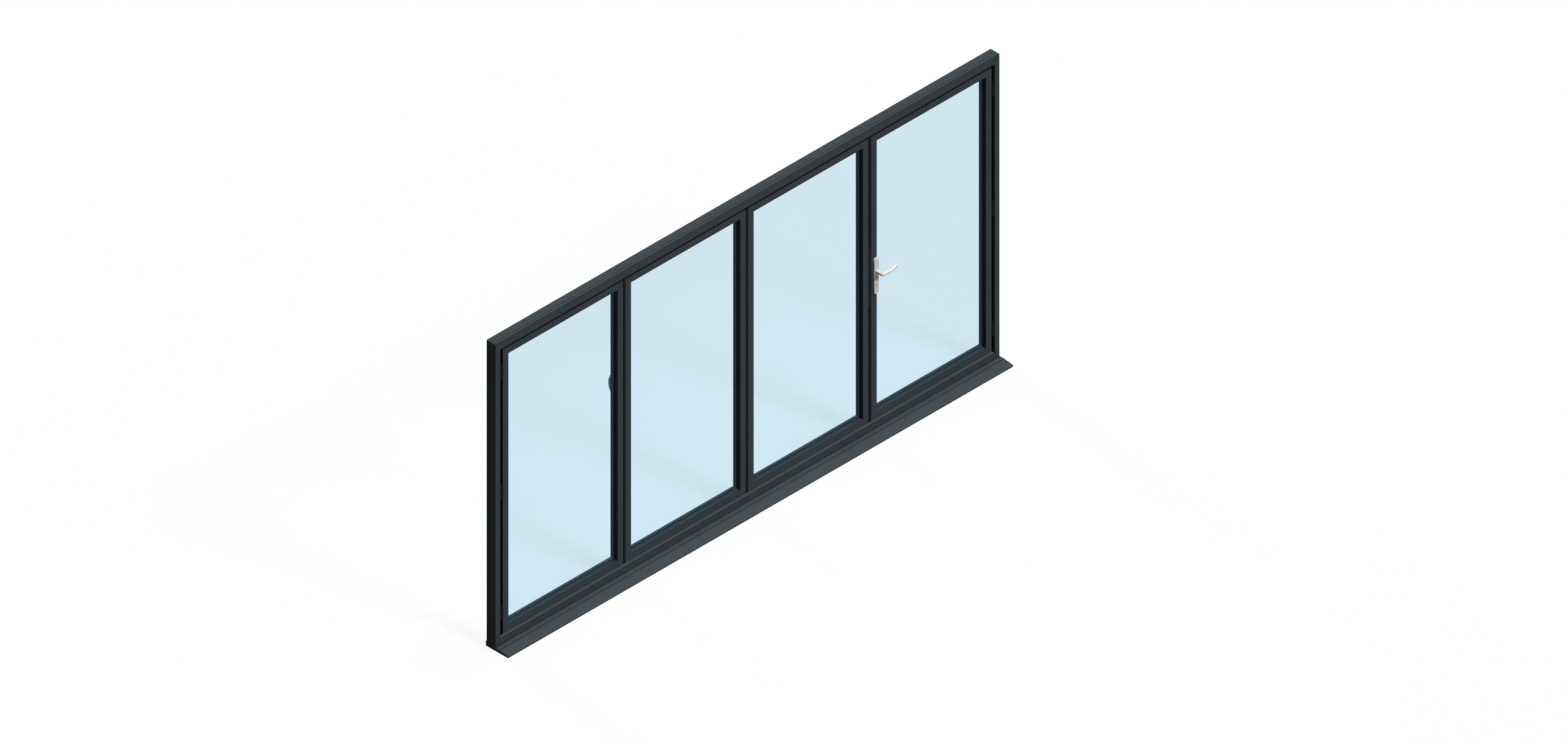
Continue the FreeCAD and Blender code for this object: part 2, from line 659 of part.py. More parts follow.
def build_leaf(at):
    """Two stiles and two rails, mitred, with glass and beads."""
    left_rebate = "lockRebate" if at == 3 else "rebateWidth"
    label = f"leaf_{at + 1}"
    left = leaf_left(at)
    right = leaf_right(at)
    stile = leaf_member(f"{label}_stile_left", LEAF_HEIGHT, left_rebate)
    place(stile, left, LEAF_FRONT, LEAF_BOTTOM)
    if at == 3:
        bore = new_sketch(stile, "spindle_hole_outline", "XZ_Plane")
        draw_hole(bore, "backset", f"leverHeight - {LEAF_BOTTOM}", "spindleBore")
        doc.recompute()
        cut_through(stile, bore, "spindle_hole")
    node(stile, f"{label}_stile_left")
    stile = leaf_member(f"{label}_stile_right", LEAF_HEIGHT)
    place(stile, right, LEAF_FRONT, LEAF_TOP, 180)
    node(stile, f"{label}_stile_right")
    rail = leaf_member(f"{label}_rail_top", LEAF_WIDTH)
    place(rail, left, LEAF_FRONT, LEAF_TOP, 90)
    node(rail, f"{label}_rail_top")
    rail = leaf_member(f"{label}_rail_bottom", LEAF_WIDTH)
    place(rail, right, LEAF_FRONT, LEAF_BOTTOM, -90)
    node(rail, f"{label}_rail_bottom")

    lip = [
        f"({left} + leafFace)",
        f"({right} - leafFace)",
        f"({LEAF_BOTTOM} + leafFace)",
        f"({LEAF_TOP} - leafFace)",
    ]
    rebate = grown(lip, "rebateWidth")
    rebate[0] = f"({lip[0]} - {left_rebate})"
    glass = grown(rebate, "-glassEdge")
    x0, x1, z0, z1 = glass
    y0 = f"({LEAF_FRONT} + {GLASS_FRONT})"
    size = (f"{x1} - {x0}", f"{z1} - {z0}")
    outer_pane = box(f"{label}_pane_outer", x0, y0, z0, size[0], "paneThick", size[1])
    inner_y = f"{y0} + paneThick + paneGap"
    inner_pane = box(f"{label}_pane_inner", x0, inner_y, z0, size[0], "paneThick", size[1])
    node(group(f"glass_{at + 1}", [outer_pane, inner_pane]), f"glass_{at + 1}")
    spacer = ring(f"{label}_spacer", glass, grown(lip, "spacerCover"), f"{y0} + paneThick", "paneGap")
    beads = build_beads(label, rebate, left_rebate)
    seal_outside = grown(lip, "sealWidth")
    front_seal = ring(f"{label}_seal_front", seal_outside, lip, f"{LEAF_FRONT} + lipDepth", "glazingSeal")
    back_y = f"{LEAF_FRONT} + {GLASS_FRONT} + {UNIT_THICK}"
    back_seal = ring(f"{label}_seal_back", seal_outside, grown(lip, "-beadStep"), back_y, "glazingSeal")
    return spacer, beads, [front_seal, back_seal]


def build_beads(label, rebate, left_rebate):
    """Four hollow beads that hold the glass from the room side, mitred with a fine gap."""
    x0, x1, z0, z1 = rebate
    depth = f"(leafDepth - {BEAD_FRONT})"
    y = f"({LEAF_FRONT} + {BEAD_FRONT})"
    reach = "(rebateWidth + beadStep)"
    left_reach = f"({left_rebate} + beadStep)"
    beads = []
    for side, x, z, turn, length, own, start, end in (
        ("left", x0, z0, 0, f"({z1} - {z0})", left_reach, reach, reach),
        ("right", x1, z1, 180, f"({z1} - {z0})", reach, reach, reach),
        ("top", x0, z1, 90, f"({x1} - {x0})", reach, left_reach, reach),
        ("bottom", x1, z0, -90, f"({x1} - {x0})", reach, reach, left_reach),
    ):
        outline = [
            ("0", "0"),
            (f"{own} - beadFront", "0"),
            (own, "beadFront"),
            (own, f"{depth} - beadBack"),
            (f"{own} - beadBack", depth),
            ("0", depth),
        ]
        chamber = rectangle("beadWall", "beadWall", f"{own} - 2 * beadWall", f"{depth} - beadWall")
        bead = bar(f"{label}_bead_{side}", outline, [chamber], length, own, start, end, "beadGap")
        place(bead, x, y, z, turn)
        beads.append(bead)
    return beads


def grown(sides, by):
    """A rectangle's four sides, each moved outward."""
    return [f"({side} {sign} ({by}))" for side, sign in zip(sides, "-+-+")]


def ring(name, around, inside, y, depth):
    """A flat rectangular ring in the plane of the leaf; each rectangle is left, right, bottom, top."""
    x0, x1, z0, z1 = around
    hx0, hx1, hz0, hz1 = inside
    outer = box(name + "_outer", x0, y, z0, f"{x1} - {x0}", depth, f"{z1} - {z0}")
    through = f"{depth} + 2 * toolReach"
    hole = box(name + "_hole", hx0, f"{y} - toolReach", hz0, f"{hx1} - {hx0}", through, f"{hz1} - {hz0}")
    return cut(name, outer, hole)


def build_leaves():
    parts = [build_leaf(at) for at in range(4)]
    node(group("spacer_bars_folding", [part[0] for part in parts[:3]]), "spacer_bars_folding")
    node(parts[3][0], "spacer_bar_door")
    node(group("glazing_beads_folding", sum((part[1] for part in parts[:3]), [])), "glazing_beads_folding")
    node(group("glazing_beads_door", parts[3][1]), "glazing_beads_door")
    node(group("glazing_seals_folding", sum((part[2] for part in parts[:3]), [])), "glazing_seals_folding")
    node(group("glazing_seals_door", parts[3][2]), "glazing_seals_door")


HINGE_MIDDLES = [
    f"({LEAF_BOTTOM} + hingeInset)",
    f"(({LEAF_BOTTOM} + {LEAF_TOP}) / 2)",
    f"({LEAF_TOP} - hingeInset)",
]
KNUCKLE = "((hingeHeight - 2 * knuckleGap) / 3)"


def hinge_flap(name, edge, at_right, grooved, low):
    """The plate of a hinge on one edge of the gap: in the leaf's groove, or on the face of a jamb."""
    if grooved:
        x = edge if at_right else f"{edge} - grooveDepth"
        y = f"{LEAF_FRONT} + grooveStart + fitGap"
        return box(name, x, y, low, "grooveDepth", "grooveWidth - 2 * fitGap", "hingeHeight")
    x = f"{edge} - hingePlate" if at_right else edge
    return box(name, x, f"{LEAF_FRONT} + grooveStart", low, "hingePlate", "grooveWidth", "hingeHeight")


def hinge_arm(name, axis_x, radius, edge, at_right, low, height):
    """Joins a knuckle to its plate, along the back of the barrel."""
    x = axis_x if at_right else edge
    width = f"{edge} - {axis_x}" if at_right else f"{axis_x} - {edge}"
    front = f"({HINGE_Y} + {radius} - hingePlate)"
    return box(name, x, front, low, width, f"{LEAF_FRONT} + grooveStart + hingePlate - {front}", height)


def swinging_hinge(name, middle, axis_x, radius, post_edge, swing_edge):
    """A jamb hinge with three knuckles: the jamb's two carry the pin, the leaf's one turns on it."""
    low = f"({middle} - hingeHeight / 2)"
    upper = f"({low} + 2 * {KNUCKLE} + 2 * knuckleGap)"
    centre = f"({low} + {KNUCKLE} + knuckleGap)"
    post = fuse(name + "_post", [
        hinge_flap(name + "_post_flap", post_edge, True, False, low),
        hinge_arm(name + "_post_arm_low", axis_x, radius, post_edge, True, low, KNUCKLE),
        hinge_arm(name + "_post_arm_high", axis_x, radius, post_edge, True, upper, KNUCKLE),
        round_bar(name + "_post_low", axis_x, HINGE_Y, low, radius, KNUCKLE),
        round_bar(name + "_post_high", axis_x, HINGE_Y, upper, radius, KNUCKLE),
        round_bar(name + "_pin", axis_x, HINGE_Y, low, "pinRadius", "hingeHeight"),
    ])
    swing_solid = fuse(name + "_swing_solid", [
        hinge_flap(name + "_swing_flap", swing_edge, False, True, low),
        hinge_arm(name + "_swing_arm", axis_x, radius, swing_edge, False, centre, KNUCKLE),
        round_bar(name + "_swing_knuckle", axis_x, HINGE_Y, centre, radius, KNUCKLE),
    ])
    bore_low = f"{centre} - toolReach"
    bore = round_bar(
        name + "_bore", axis_x, HINGE_Y, bore_low, "pinRadius + pinGap", f"{KNUCKLE} + 2 * toolReach"
    )
    return post, cut(name + "_swing", swing_solid, bore)


def closed_hinge(name, middle, axis_x, radius, left_edge, left_grooved, right_edge):
    """A hinge of a folding leaf, which stays shut here: barrel, arms and both plates in one."""
    low = f"({middle} - hingeHeight / 2)"
    return fuse(name, [
        hinge_flap(name + "_left_flap", left_edge, False, left_grooved, low),
        hinge_flap(name + "_right_flap", right_edge, True, True, low),
        hinge_arm(name + "_left_arm", axis_x, radius, left_edge, False, low, "hingeHeight"),
        hinge_arm(name + "_right_arm", axis_x, radius, right_edge, True, low, "hingeHeight"),
        round_bar(name + "_barrel", axis_x, HINGE_Y, low, radius, "hingeHeight"),
    ])


def inside_hinge(name, middle, axis_x):
    """A hinge on the room side of a joint: two plates on the leaves and three knuckles between them."""
    low = f"({middle} - hingeHeight / 2)"
    y = f"({LEAF_BACK} + insideRadius)"
    edge_gap = "meetGap / 2"
    flap = ("insideFlap", "hingePlate", "hingeHeight")
    left = [box(name + "_left_flap", f"{axis_x} - {edge_gap} - insideFlap", LEAF_BACK, low, *flap)]
    right = [box(name + "_right_flap", f"{axis_x} + {edge_gap}", LEAF_BACK, low, *flap)]
    for at, side in enumerate((left, right, left)):
        z = f"({low} + {at} * ({KNUCKLE} + knuckleGap))"
        side.append(round_bar(f"{name}_knuckle_{at}", axis_x, y, z, "insideRadius", KNUCKLE))
        x = f"{axis_x} - {edge_gap}" if side is left else axis_x
        side.append(box(f"{name}_arm_{at}", x, LEAF_BACK, z, edge_gap, "hingePlate", KNUCKLE))
    return [fuse(name + "_left", left), fuse(name + "_right", right)]


def build_hinges():
    """Three hinges at each jamb and at each joint between folding leaves."""
    door_axis = f"({OPEN_RIGHT} - sideGap / 2)"
    first_axis = f"({OPEN_LEFT} + sideGap / 2)"
    fold_axis = f"({leaf_right(1)} + meetGap / 2)"
    inside_axis = f"({leaf_right(0)} + meetGap / 2)"
    posts, swings, jamb_pieces, fold_pieces, inside_pieces = [], [], [], [], []
    for at, middle in enumerate(HINGE_MIDDLES):
        post, swing = swinging_hinge(
            f"door_hinge_{at}", middle, door_axis, "barrelRadius", OPEN_RIGHT, leaf_right(3)
        )
        posts.append(post)
        swings.append(swing)
        jamb_pieces.append(closed_hinge(
            f"jamb_hinge_{at}", middle, first_axis, "barrelRadius", OPEN_LEFT, False, leaf_left(0)
        ))
        fold_pieces.append(closed_hinge(
            f"fold_hinge_{at}", middle, fold_axis, "slimRadius", leaf_right(1), True, leaf_left(2)
        ))
        inside_pieces += inside_hinge(f"inside_hinge_{at}", middle, inside_axis)
    node(group("door_hinges_frame_side", posts), "door_hinges_frame_side")
    node(group("door_hinges_leaf_side", swings), "door_hinges_leaf_side")
    node(group("jamb_hinges", jamb_pieces), "jamb_hinges")
    node(group("outside_fold_hinges", fold_pieces), "outside_fold_hinges")
    node(group("inside_fold_hinges", inside_pieces), "inside_fold_hinges")


def build_carriage():
    """The roller carriage in the head and the guide in the threshold, at the outside folding joint."""
    x = f"({leaf_left(2)} + carriageLong / 2)"
    y = f"({FRONT} + trackSetback)"
    wide = "(trackWidth - 2 * carriageGap)"
    corner = (f"{x} - carriageLong / 2", f"{y} - {wide} / 2")
    base = f"({OPEN_TOP} + trackLip + carriageGap)"
    carriage = fuse("roller_carriage", [
        box("carriage_block", *corner, base, "carriageLong", wide, "carriageHigh"),
        round_bar("hanger_bolt", x, y, LEAF_TOP, "hangerRadius", f"{base} - {LEAF_TOP}"),
        box("hanger_plate", *corner, LEAF_TOP, "carriageLong", wide, "hangerPlate"),
    ])
    node(carriage, "roller_carriage")
    low = f"({LEAF_BOTTOM} - hangerPlate)"
    floor = f"({OPEN_BOTTOM} - guideDepth + carriageGap)"
    guide = fuse("bottom_guide", [
        round_bar("guide_bolt", x, y, floor, "hangerRadius", f"{low} - {floor}"),
        box("guide_plate", *corner, low, "carriageLong", wide, "hangerPlate"),
    ])
    node(guide, "bottom_guide")


LEVER_X = f"({leaf_left(3)} + backset)"
PLATE_FRONT = f"({LEAF_FRONT} - plateThick)"
PLATE_BACK = f"({LEAF_BACK} + plateThick)"


def euro_shape(name, front, depth, extra):
    """The lock cylinder's outline: a round part with a narrower flat part below it."""
    z = "(leverHeight - keyDrop)"
    foot = "(keyLength - keyRadius - keySlot / 2)"
    flat_left = f"{LEVER_X} - keySlot / 2 - {extra}"
    return fuse(name, [
        round_bar(name + "_round", LEVER_X, front, z, f"keyRadius + {extra}", depth, "y"),
        round_bar(name + "_foot", LEVER_X, front, f"{z} - {foot}", f"keySlot / 2 + {extra}", depth, "y"),
        box(name + "_flat", flat_left, front, f"{z} - {foot}", f"keySlot + 2 * {extra}", depth, foot),
    ])


def handle_plate(name, back, outward):
    """A long plate with round ends and a bevelled face, a hole for the spindle and one for the cylinder.

    Its body starts at the leaf and grows outward (-1) or into the room (1).
    """
    body = doc.addObject("PartDesign::Body", name + "_body")
    outline = new_sketch(body, name + "_outline", "XZ_Plane")
    half = ("plateWidth / 2", "plateLength / 2")
    draw_outline(outline, rectangle(f"-{half[0]}", f"-{half[1]}", half[0], half[1]))
    solid = pad(body, outline, "plateThick", name + "_slab")
    solid.Reversed = outward > 0
    doc.recompute()
    face = "-plateThick" if outward < 0 else "plateThick"
    dress(body, "Fillet", name + "_ends", "(plateWidth - plateFlat) / 2", lambda point: (
        near(abs(point.x), half[0]) and near(abs(point.z), half[1])
    ))
    dress(body, "Chamfer", name + "_edge", "plateEdge", lambda point: near(point.y, face))
    bore = new_sketch(body, name + "_bore_outline", "XZ_Plane")
    draw_hole(bore, "0", "plateDrop", "spindleBore")
    doc.recompute()
    hole = body.newObject("PartDesign::Pocket", name + "_bore")
    hole.Profile = (bore, [""])
    hole.Type = "ThroughAll"
    hole.Midplane = True
    doc.recompute()
    place(body, LEVER_X, back, "leverHeight - plateDrop")
    key_front = f"{back} - plateThick - toolReach" if outward < 0 else f"{back} - toolReach"
    return cut(name, body, euro_shape(name + "_key_hole", key_front, "plateThick + 2 * toolReach", "fitGap"))


def lever(name, end, outward, trail):
    """A flat neck that turns into a bowed arm, drawn in plan, with rounded corners and bevelled edges."""
    sign = "-" if outward < 0 else ""
    centre = "(armReach - armRadius)"
    far = "(armRadius + armThick / 2)"
    close = "(armRadius - armThick / 2)"
    half = "(neckWidth / 2)"
    corner = (f"-{half}", f"({centre} + sqrt({far}^2 - ({half} + armPeak)^2))")
    crook = (half, f"({centre} + sqrt({close}^2 - (armPeak - {half})^2))")
    tip_far = (f"(armPeak + {far} * sin({trail} * 1deg))", f"({centre} + {far} * cos({trail} * 1deg))")
    tip_near = (f"(armPeak + {close} * sin({trail} * 1deg))", f"({centre} + {close} * cos({trail} * 1deg))")
    outline = [
        (f"-{half}", "0"),
        (*corner, "-" + far),
        tip_far,
        (*tip_near, close),
        crook,
        (half, "0"),
    ]
    if outward < 0:
        outline = [(x, f"(-1 * {y})", f"(-1 * {radius[0]})") if radius else (x, f"(-1 * {y})")
                   for x, y, *radius in outline]
    body = doc.addObject("PartDesign::Body", name)
    plan = new_sketch(body, name + "_plan", "XY_Plane")
    draw_outline(plan, outline)
    pad(body, plan, "armHigh", name + "_slab")
    doc.recompute()
    for part, radius, (x, y) in (
        ("corner", "neckCorner", corner),
        ("crook", "neckCorner", crook),
        ("tip_far", "armTip", tip_far),
        ("tip_near", "armTip", tip_near),
    ):
        dress(body, "Fillet", f"{name}_{part}", radius, lambda point: (
            near(point.x, x) and near(point.y, f"{sign}{y}")
        ))
    dress(body, "Chamfer", name + "_edges", "armEdge", lambda point: (
        (near(point.z, "0") or near(point.z, "armHigh")) and not near(point.y, "0")
    ))
    place(body, LEVER_X, end, "leverHeight - armHigh / 2")
    return node(body, name)


def build_handles():
    """Handle plates and levers on both sides of the traffic door, with the lock between them."""
    node(handle_plate("handle_plate_outside", LEAF_FRONT, -1), "handle_plate_outside")
    node(handle_plate("handle_plate_inside", LEAF_BACK, 1), "handle_plate_inside")
    outside = euro_shape("cylinder_outside", f"{PLATE_FRONT} - keyProud", "plateThick + keyProud", "0")
    inside = euro_shape("cylinder_inside", LEAF_BACK, "plateThick + keyProud", "0")
    node(group("lock_cylinder", [outside, inside]), "lock_cylinder")
    outer_end = f"({PLATE_FRONT} - fitGap)"
    inner_end = f"({PLATE_BACK} + fitGap)"
    lever("lever_outside", outer_end, -1, "armTrail")
    lever("lever_inside", inner_end, 1, "insideTrail")
    spindle = box(
        "spindle",
        f"{LEVER_X} - spindleSide / 2",
        outer_end,
        "leverHeight - spindleSide / 2",
        "spindleSide",
        f"{inner_end} - {outer_end}",
        "spindleSide",
    )
    node(spindle, "spindle")
    bolts = ("leverHeight", "leverHeight - keyDrop")
    faceplate_x = f"{leaf_left(3)} + grooveDepth - faceplateThick"
    node(lock_strip("lock_faceplate", faceplate_x, "faceplateLength", bolts), "lock_faceplate")
    node(lock_strip("lock_keep", f"{leaf_right(2)} - grooveDepth", "keepLength", bolts), "lock_keep")


def lock_strip(name, x, length, bolts):
    """A strip in the hardware groove, with a mouth for each bolt."""
    y = f"({LEAF_FRONT} + grooveStart + (grooveWidth - faceplateWidth) / 2)"
    low = f"leverHeight - plateDrop - {length} / 2"
    strip = box(name + "_blank", x, y, low, "faceplateThick", "faceplateWidth", length)
    mouths = [
        box(
            f"{name}_mouth_{at}",
            f"{x} - toolReach",
            f"{y} + (faceplateWidth - boltWidth) / 2",
            f"{z} - boltHeight / 2",
            "faceplateThick + 2 * toolReach",
            "boltWidth",
            "boltHeight",
        )
        for at, z in enumerate(bolts)
    ]
    return cut(name, strip, fuse(name + "_mouths", mouths))


def build_pull():
    """The inside pull: a flat bar bent to a bow, its two ends square on the leaf."""
    body = doc.addObject("PartDesign::Body", "inside_pull")
    side = new_sketch(body, "inside_pull_side", "YZ_Plane")
    half = "pullLength / 2"
    draw_outline(side, [
        ("0", f"-{half}"),
        ("pullReach", f"-{half}"),
        ("pullReach", half),
        ("0", half),
        ("0", f"{half} - pullThick"),
        ("pullReach - pullThick", f"{half} - pullThick"),
        ("pullReach - pullThick", f"-{half} + pullThick"),
        ("0", f"-{half} + pullThick"),
    ])
    pad(body, side, "pullWide", "inside_pull_slab")
    doc.recompute()
    dress(body, "Fillet", "inside_pull_outer_bends", "pullBend", lambda point: (
        near(point.y, "pullReach") and near(abs(point.z), half)
    ))
    dress(body, "Fillet", "inside_pull_inner_bends", "pullBend - pullThick", lambda point: (
        near(point.y, "pullReach - pullThick") and near(abs(point.z), f"{half} - pullThick")
    ))
    dress(body, "Chamfer", "inside_pull_edges", "pullEdge", lambda point: (
        (near(point.x, "0") or near(point.x, "pullWide")) and not near(point.y, "0")
    ))
    place(body, f"{leaf_right(0)} - (leafFace + pullWide) / 2", LEAF_BACK, "pullHeight")
    node(body, "inside_pull")


def seal_strip(name, x, setback, width, hinged):
    """An upright seal in a joint, left out where the joint has hinges in the gap."""
    y = f"{LEAF_FRONT} + {setback}"
    strip = box(name, x, y, LEAF_BOTTOM, width, "sealThick", LEAF_HEIGHT)
    if not hinged:
        return strip
    rooms = [
        box(
            f"{name}_room_{at}",
            f"{x} - toolReach",
            f"{y} - toolReach",
            f"{middle} - hingeHeight / 2 - sealGap",
            f"{width} + 2 * toolReach",
            "sealThick + 2 * toolReach",
            "hingeHeight + 2 * sealGap",
        )
        for at, middle in enumerate(HINGE_MIDDLES)
    ]
    return cut(name + "_cut", strip, fuse(name + "_rooms", rooms))


def build_meeting_seals():
    """Two seals in each joint: one in front on the leaf at its right, one behind on the leaf at its left."""
    fronts = []
    backs = []
    for at, (gap, opening) in enumerate((
        ("meetGap", "frontSealGap"), ("meetGap", "frontSealGap"), ("lockGap", "lockSealGap")
    )):
        hinged = at == 1
        edge = leaf_right(at)
        start = f"{edge} + {opening}"
        fronts.append(seal_strip(f"front_seal_{at}", start, "frontSealDepth", f"{gap} - {opening}", hinged))
        backs.append(seal_strip(f"back_seal_{at}", edge, "backSealDepth", f"{opening} + sealLap", False))
    node(group("meeting_seals", fronts[:2] + backs), "meeting_seals")
    node(fronts[2], "door_meeting_seal")


CORNERS = build_corners()
build_jambs()
build_head()
build_threshold()
build_stops()
build_cill()
build_leaves()
build_hinges()
build_handles()
build_carriage()
build_pull()
build_meeting_seals()
doc.recompute()

for obj in doc.Objects:
    if "Invalid" in obj.State or "Error" in obj.State:
        raise RuntimeError(f"{obj.Label} failed: {obj.State}")
for obj in nodes:
    if obj.Shape.isNull() or not obj.Shape.isValid() or not obj.Shape.Solids:
        raise RuntimeError(f"{obj.Label} has no sound shape")

os.makedirs("parts", exist_ok=True)
for obj in nodes:
    obj.Shape.exportStep(f"parts/{obj.Label}.step")
print(len(nodes), "sub-parts,", sum(len(obj.Shape.Solids) for obj in nodes), "solids")
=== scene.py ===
import json
import math

import bmesh
import bpy
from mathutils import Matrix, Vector


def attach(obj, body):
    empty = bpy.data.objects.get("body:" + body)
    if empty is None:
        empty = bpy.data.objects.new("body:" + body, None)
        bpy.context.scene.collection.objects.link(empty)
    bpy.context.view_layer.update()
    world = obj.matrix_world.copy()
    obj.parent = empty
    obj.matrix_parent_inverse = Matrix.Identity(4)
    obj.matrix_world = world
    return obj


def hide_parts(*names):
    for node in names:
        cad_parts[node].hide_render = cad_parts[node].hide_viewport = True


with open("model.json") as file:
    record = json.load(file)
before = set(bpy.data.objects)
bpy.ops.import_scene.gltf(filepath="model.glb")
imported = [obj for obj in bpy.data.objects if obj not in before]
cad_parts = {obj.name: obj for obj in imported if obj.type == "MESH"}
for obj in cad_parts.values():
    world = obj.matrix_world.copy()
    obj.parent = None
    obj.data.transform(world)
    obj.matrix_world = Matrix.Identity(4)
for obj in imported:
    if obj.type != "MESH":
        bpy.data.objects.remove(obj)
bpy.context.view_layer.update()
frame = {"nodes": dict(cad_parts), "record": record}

nodes = frame["nodes"]
scene = bpy.context.scene
scene.view_settings.view_transform = "Standard"
print("frame loaded:", len(nodes), "nodes")


def linear(hexColour):
    # sRGB hex to the linear RGBA that the shaders take
    channels = [int(hexColour[at:at + 2], 16) / 255 for at in (1, 3, 5)]
    return tuple(c / 12.92 if c <= 0.04045 else ((c + 0.055) / 1.055) ** 2.4 for c in channels) + (1.0,)


def addNode(tree, kind, sockets=None, **settings):
    # sockets gives each input a value, or the output that feeds it
    node = tree.nodes.new(kind)
    for name, value in settings.items():
        setattr(node, name, value)
    for name, value in (sockets or {}).items():
        if isinstance(value, bpy.types.NodeSocket):
            tree.links.new(value, node.inputs[name])
        else:
            node.inputs[name].default_value = value
    return node


def newMaterial(name):
    material = bpy.data.materials.new(name)
    material.use_nodes = True
    material.node_tree.nodes.clear()
    return material, material.node_tree


def shade(value, by):
    # the same colour, lighter or darker by a factor
    return tuple(channel * by for channel in value[:3]) + (1.0,)


# A true isometric view from the left, in front and above
viewSettings = {
    "target": (0.2914, -0.0333, 0.7568),  # what stands in the middle of the picture, m
    "frameWidth": 8.798,                  # the picture's width in metres on a plane through the target
    "distance": 14.0,                     # from the camera to the target, m
    "farEnd": 60,                         # nothing further off is drawn, m
}


def makeCamera(values):
    forward = Vector((1, 1, -1)).normalized()
    data = bpy.data.cameras.new("isometricCamera")
    data.type = "ORTHO"
    data.ortho_scale = values["frameWidth"]
    data.clip_end = values["farEnd"]
    camera = bpy.data.objects.new("isometricCamera", data)
    camera.location = Vector(values["target"]) - forward * values["distance"]
    camera.rotation_euler = forward.to_track_quat("-Z", "Y").to_euler()
    scene.collection.objects.link(camera)
    scene.camera = camera


makeCamera(viewSettings)
print("camera placed")


# Lamps that stand for a plain studio, and a pale floor
lampSettings = {
    # the direction towards the lamp, its strength, and the spread in degrees that softens its shadows
    "keyLamp": ((0.1, -0.71, 0.7), 2.75, 12),    # from the front, half way up
    "topLamp": ((0.15, -0.05, 0.98), 2.1, 14),   # almost straight down
    "backLamp": ((0.12, 0.93, 0.35), 1.7, 10),   # a weaker one, so that the room side can be read
}
floorSettings = {
    "colour": "#808080",  # what the floor gives back to the object
    "seen": "#595959",    # what the camera sees of its own colour, with the shadow on it
    "glow": 0.86,         # and the plain white that lies over that
    "size": 60,           # m
}


def makeSun(name, towards, strength, spread):
    data = bpy.data.lights.new(name, "SUN")
    data.energy = strength
    data.angle = math.radians(spread)
    sun = bpy.data.objects.new(name, data)
    sun.rotation_euler = Vector(towards).to_track_quat("Z", "Y").to_euler()
    sun.location = Vector(towards) * 6
    scene.collection.objects.link(sun)


def seenDirectly(tree):
    # 1 for what the camera, a reflection or a look through glass meets, 0 for plain lighting
    path = addNode(tree, "ShaderNodeLightPath").outputs
    either = addNode(tree, "ShaderNodeMath", {
        0: path["Is Camera Ray"], 1: path["Is Glossy Ray"],
    }, operation="MAXIMUM")
    seen = addNode(tree, "ShaderNodeMath", {
        0: either.outputs[0], 1: path["Is Transmission Ray"],
    }, operation="MAXIMUM")
    # light that comes back off a surface behind the glass is plain lighting too
    bounced = addNode(tree, "ShaderNodeMath", {0: path["Diffuse Depth"], 1: 1.0}, operation="MINIMUM")
    return addNode(tree, "ShaderNodeMath", {
        0: seen.outputs[0], 1: bounced.outputs[0],
    }, operation="SUBTRACT", use_clamp=True).outputs[0]


def makeWorld():
    # white for the eye, and dark for the lighting, which is left to the lamps
    world = bpy.data.worlds.new("studioWorld")
    scene.world = world
    world.use_nodes = True
    tree = world.node_tree
    tree.nodes.clear()
    background = addNode(tree, "ShaderNodeBackground", {
        "Color": (1, 1, 1, 1), "Strength": seenDirectly(tree),
    })
    addNode(tree, "ShaderNodeOutputWorld", {"Surface": background.outputs[0]})


def makeFloor(values):
    material, tree = newMaterial("paleStudioFloor")
    ground = addNode(tree, "ShaderNodeBsdfDiffuse", {"Color": linear(values["colour"])})
    glow = addNode(tree, "ShaderNodeEmission", {"Color": (1, 1, 1, 1), "Strength": values["glow"]})
    seen = addNode(tree, "ShaderNodeBsdfDiffuse", {"Color": linear(values["seen"])})
    both = addNode(tree, "ShaderNodeAddShader", {0: seen.outputs[0], 1: glow.outputs[0]})
    mixed = addNode(tree, "ShaderNodeMixShader", {
        0: seenDirectly(tree), 1: ground.outputs[0], 2: both.outputs[0],
    })
    addNode(tree, "ShaderNodeOutputMaterial", {"Surface": mixed.outputs[0]})
    half = values["size"] / 2
    mesh = bpy.data.meshes.new("studioFloor")
    corners = [(-half, -half, 0), (half, -half, 0), (half, half, 0), (-half, half, 0)]
    mesh.from_pydata(corners, [], [(0, 1, 2, 3)])
    floor = bpy.data.objects.new("studioFloor", mesh)
    floor.data.materials.append(material)
    scene.collection.objects.link(floor)


for name, (towards, strength, spread) in lampSettings.items():
    makeSun(name, towards, strength, spread)
makeWorld()
makeFloor(floorSettings)
print("light and floor made")


# Finishes of the real materials
coatSettings = {
    "frame": "#383E42",  # anthracite grey
    "leaf": "#383E42",
    "cill": "#3B4246",
    "hinges": "#17191B",  # black, so that they sink into the dark joints
    "gloss": 0.02,
    "roughness": 0.62,
    "peelScale": 110,     # lumps in a metre
    "peelDepth": 0.12,
    "cloudScale": 3.2,
    "shadeLineWidth": 0.0034,  # metres of painted edge shade on each side of an edge
    "shadeLineTone": 0.1,      # how much of the colour the painted edge shade leaves right on the edge
    "foldHalf": (0.0012, 0.0030),  # a fold's painted shade line fades out between these distances from its middle
    "treadLight": 2.3,         # painted light: how much lighter the front of the threshold's top is drawn
    "treadEnds": (-0.014, -0.007),  # the depths between which that fades out
}


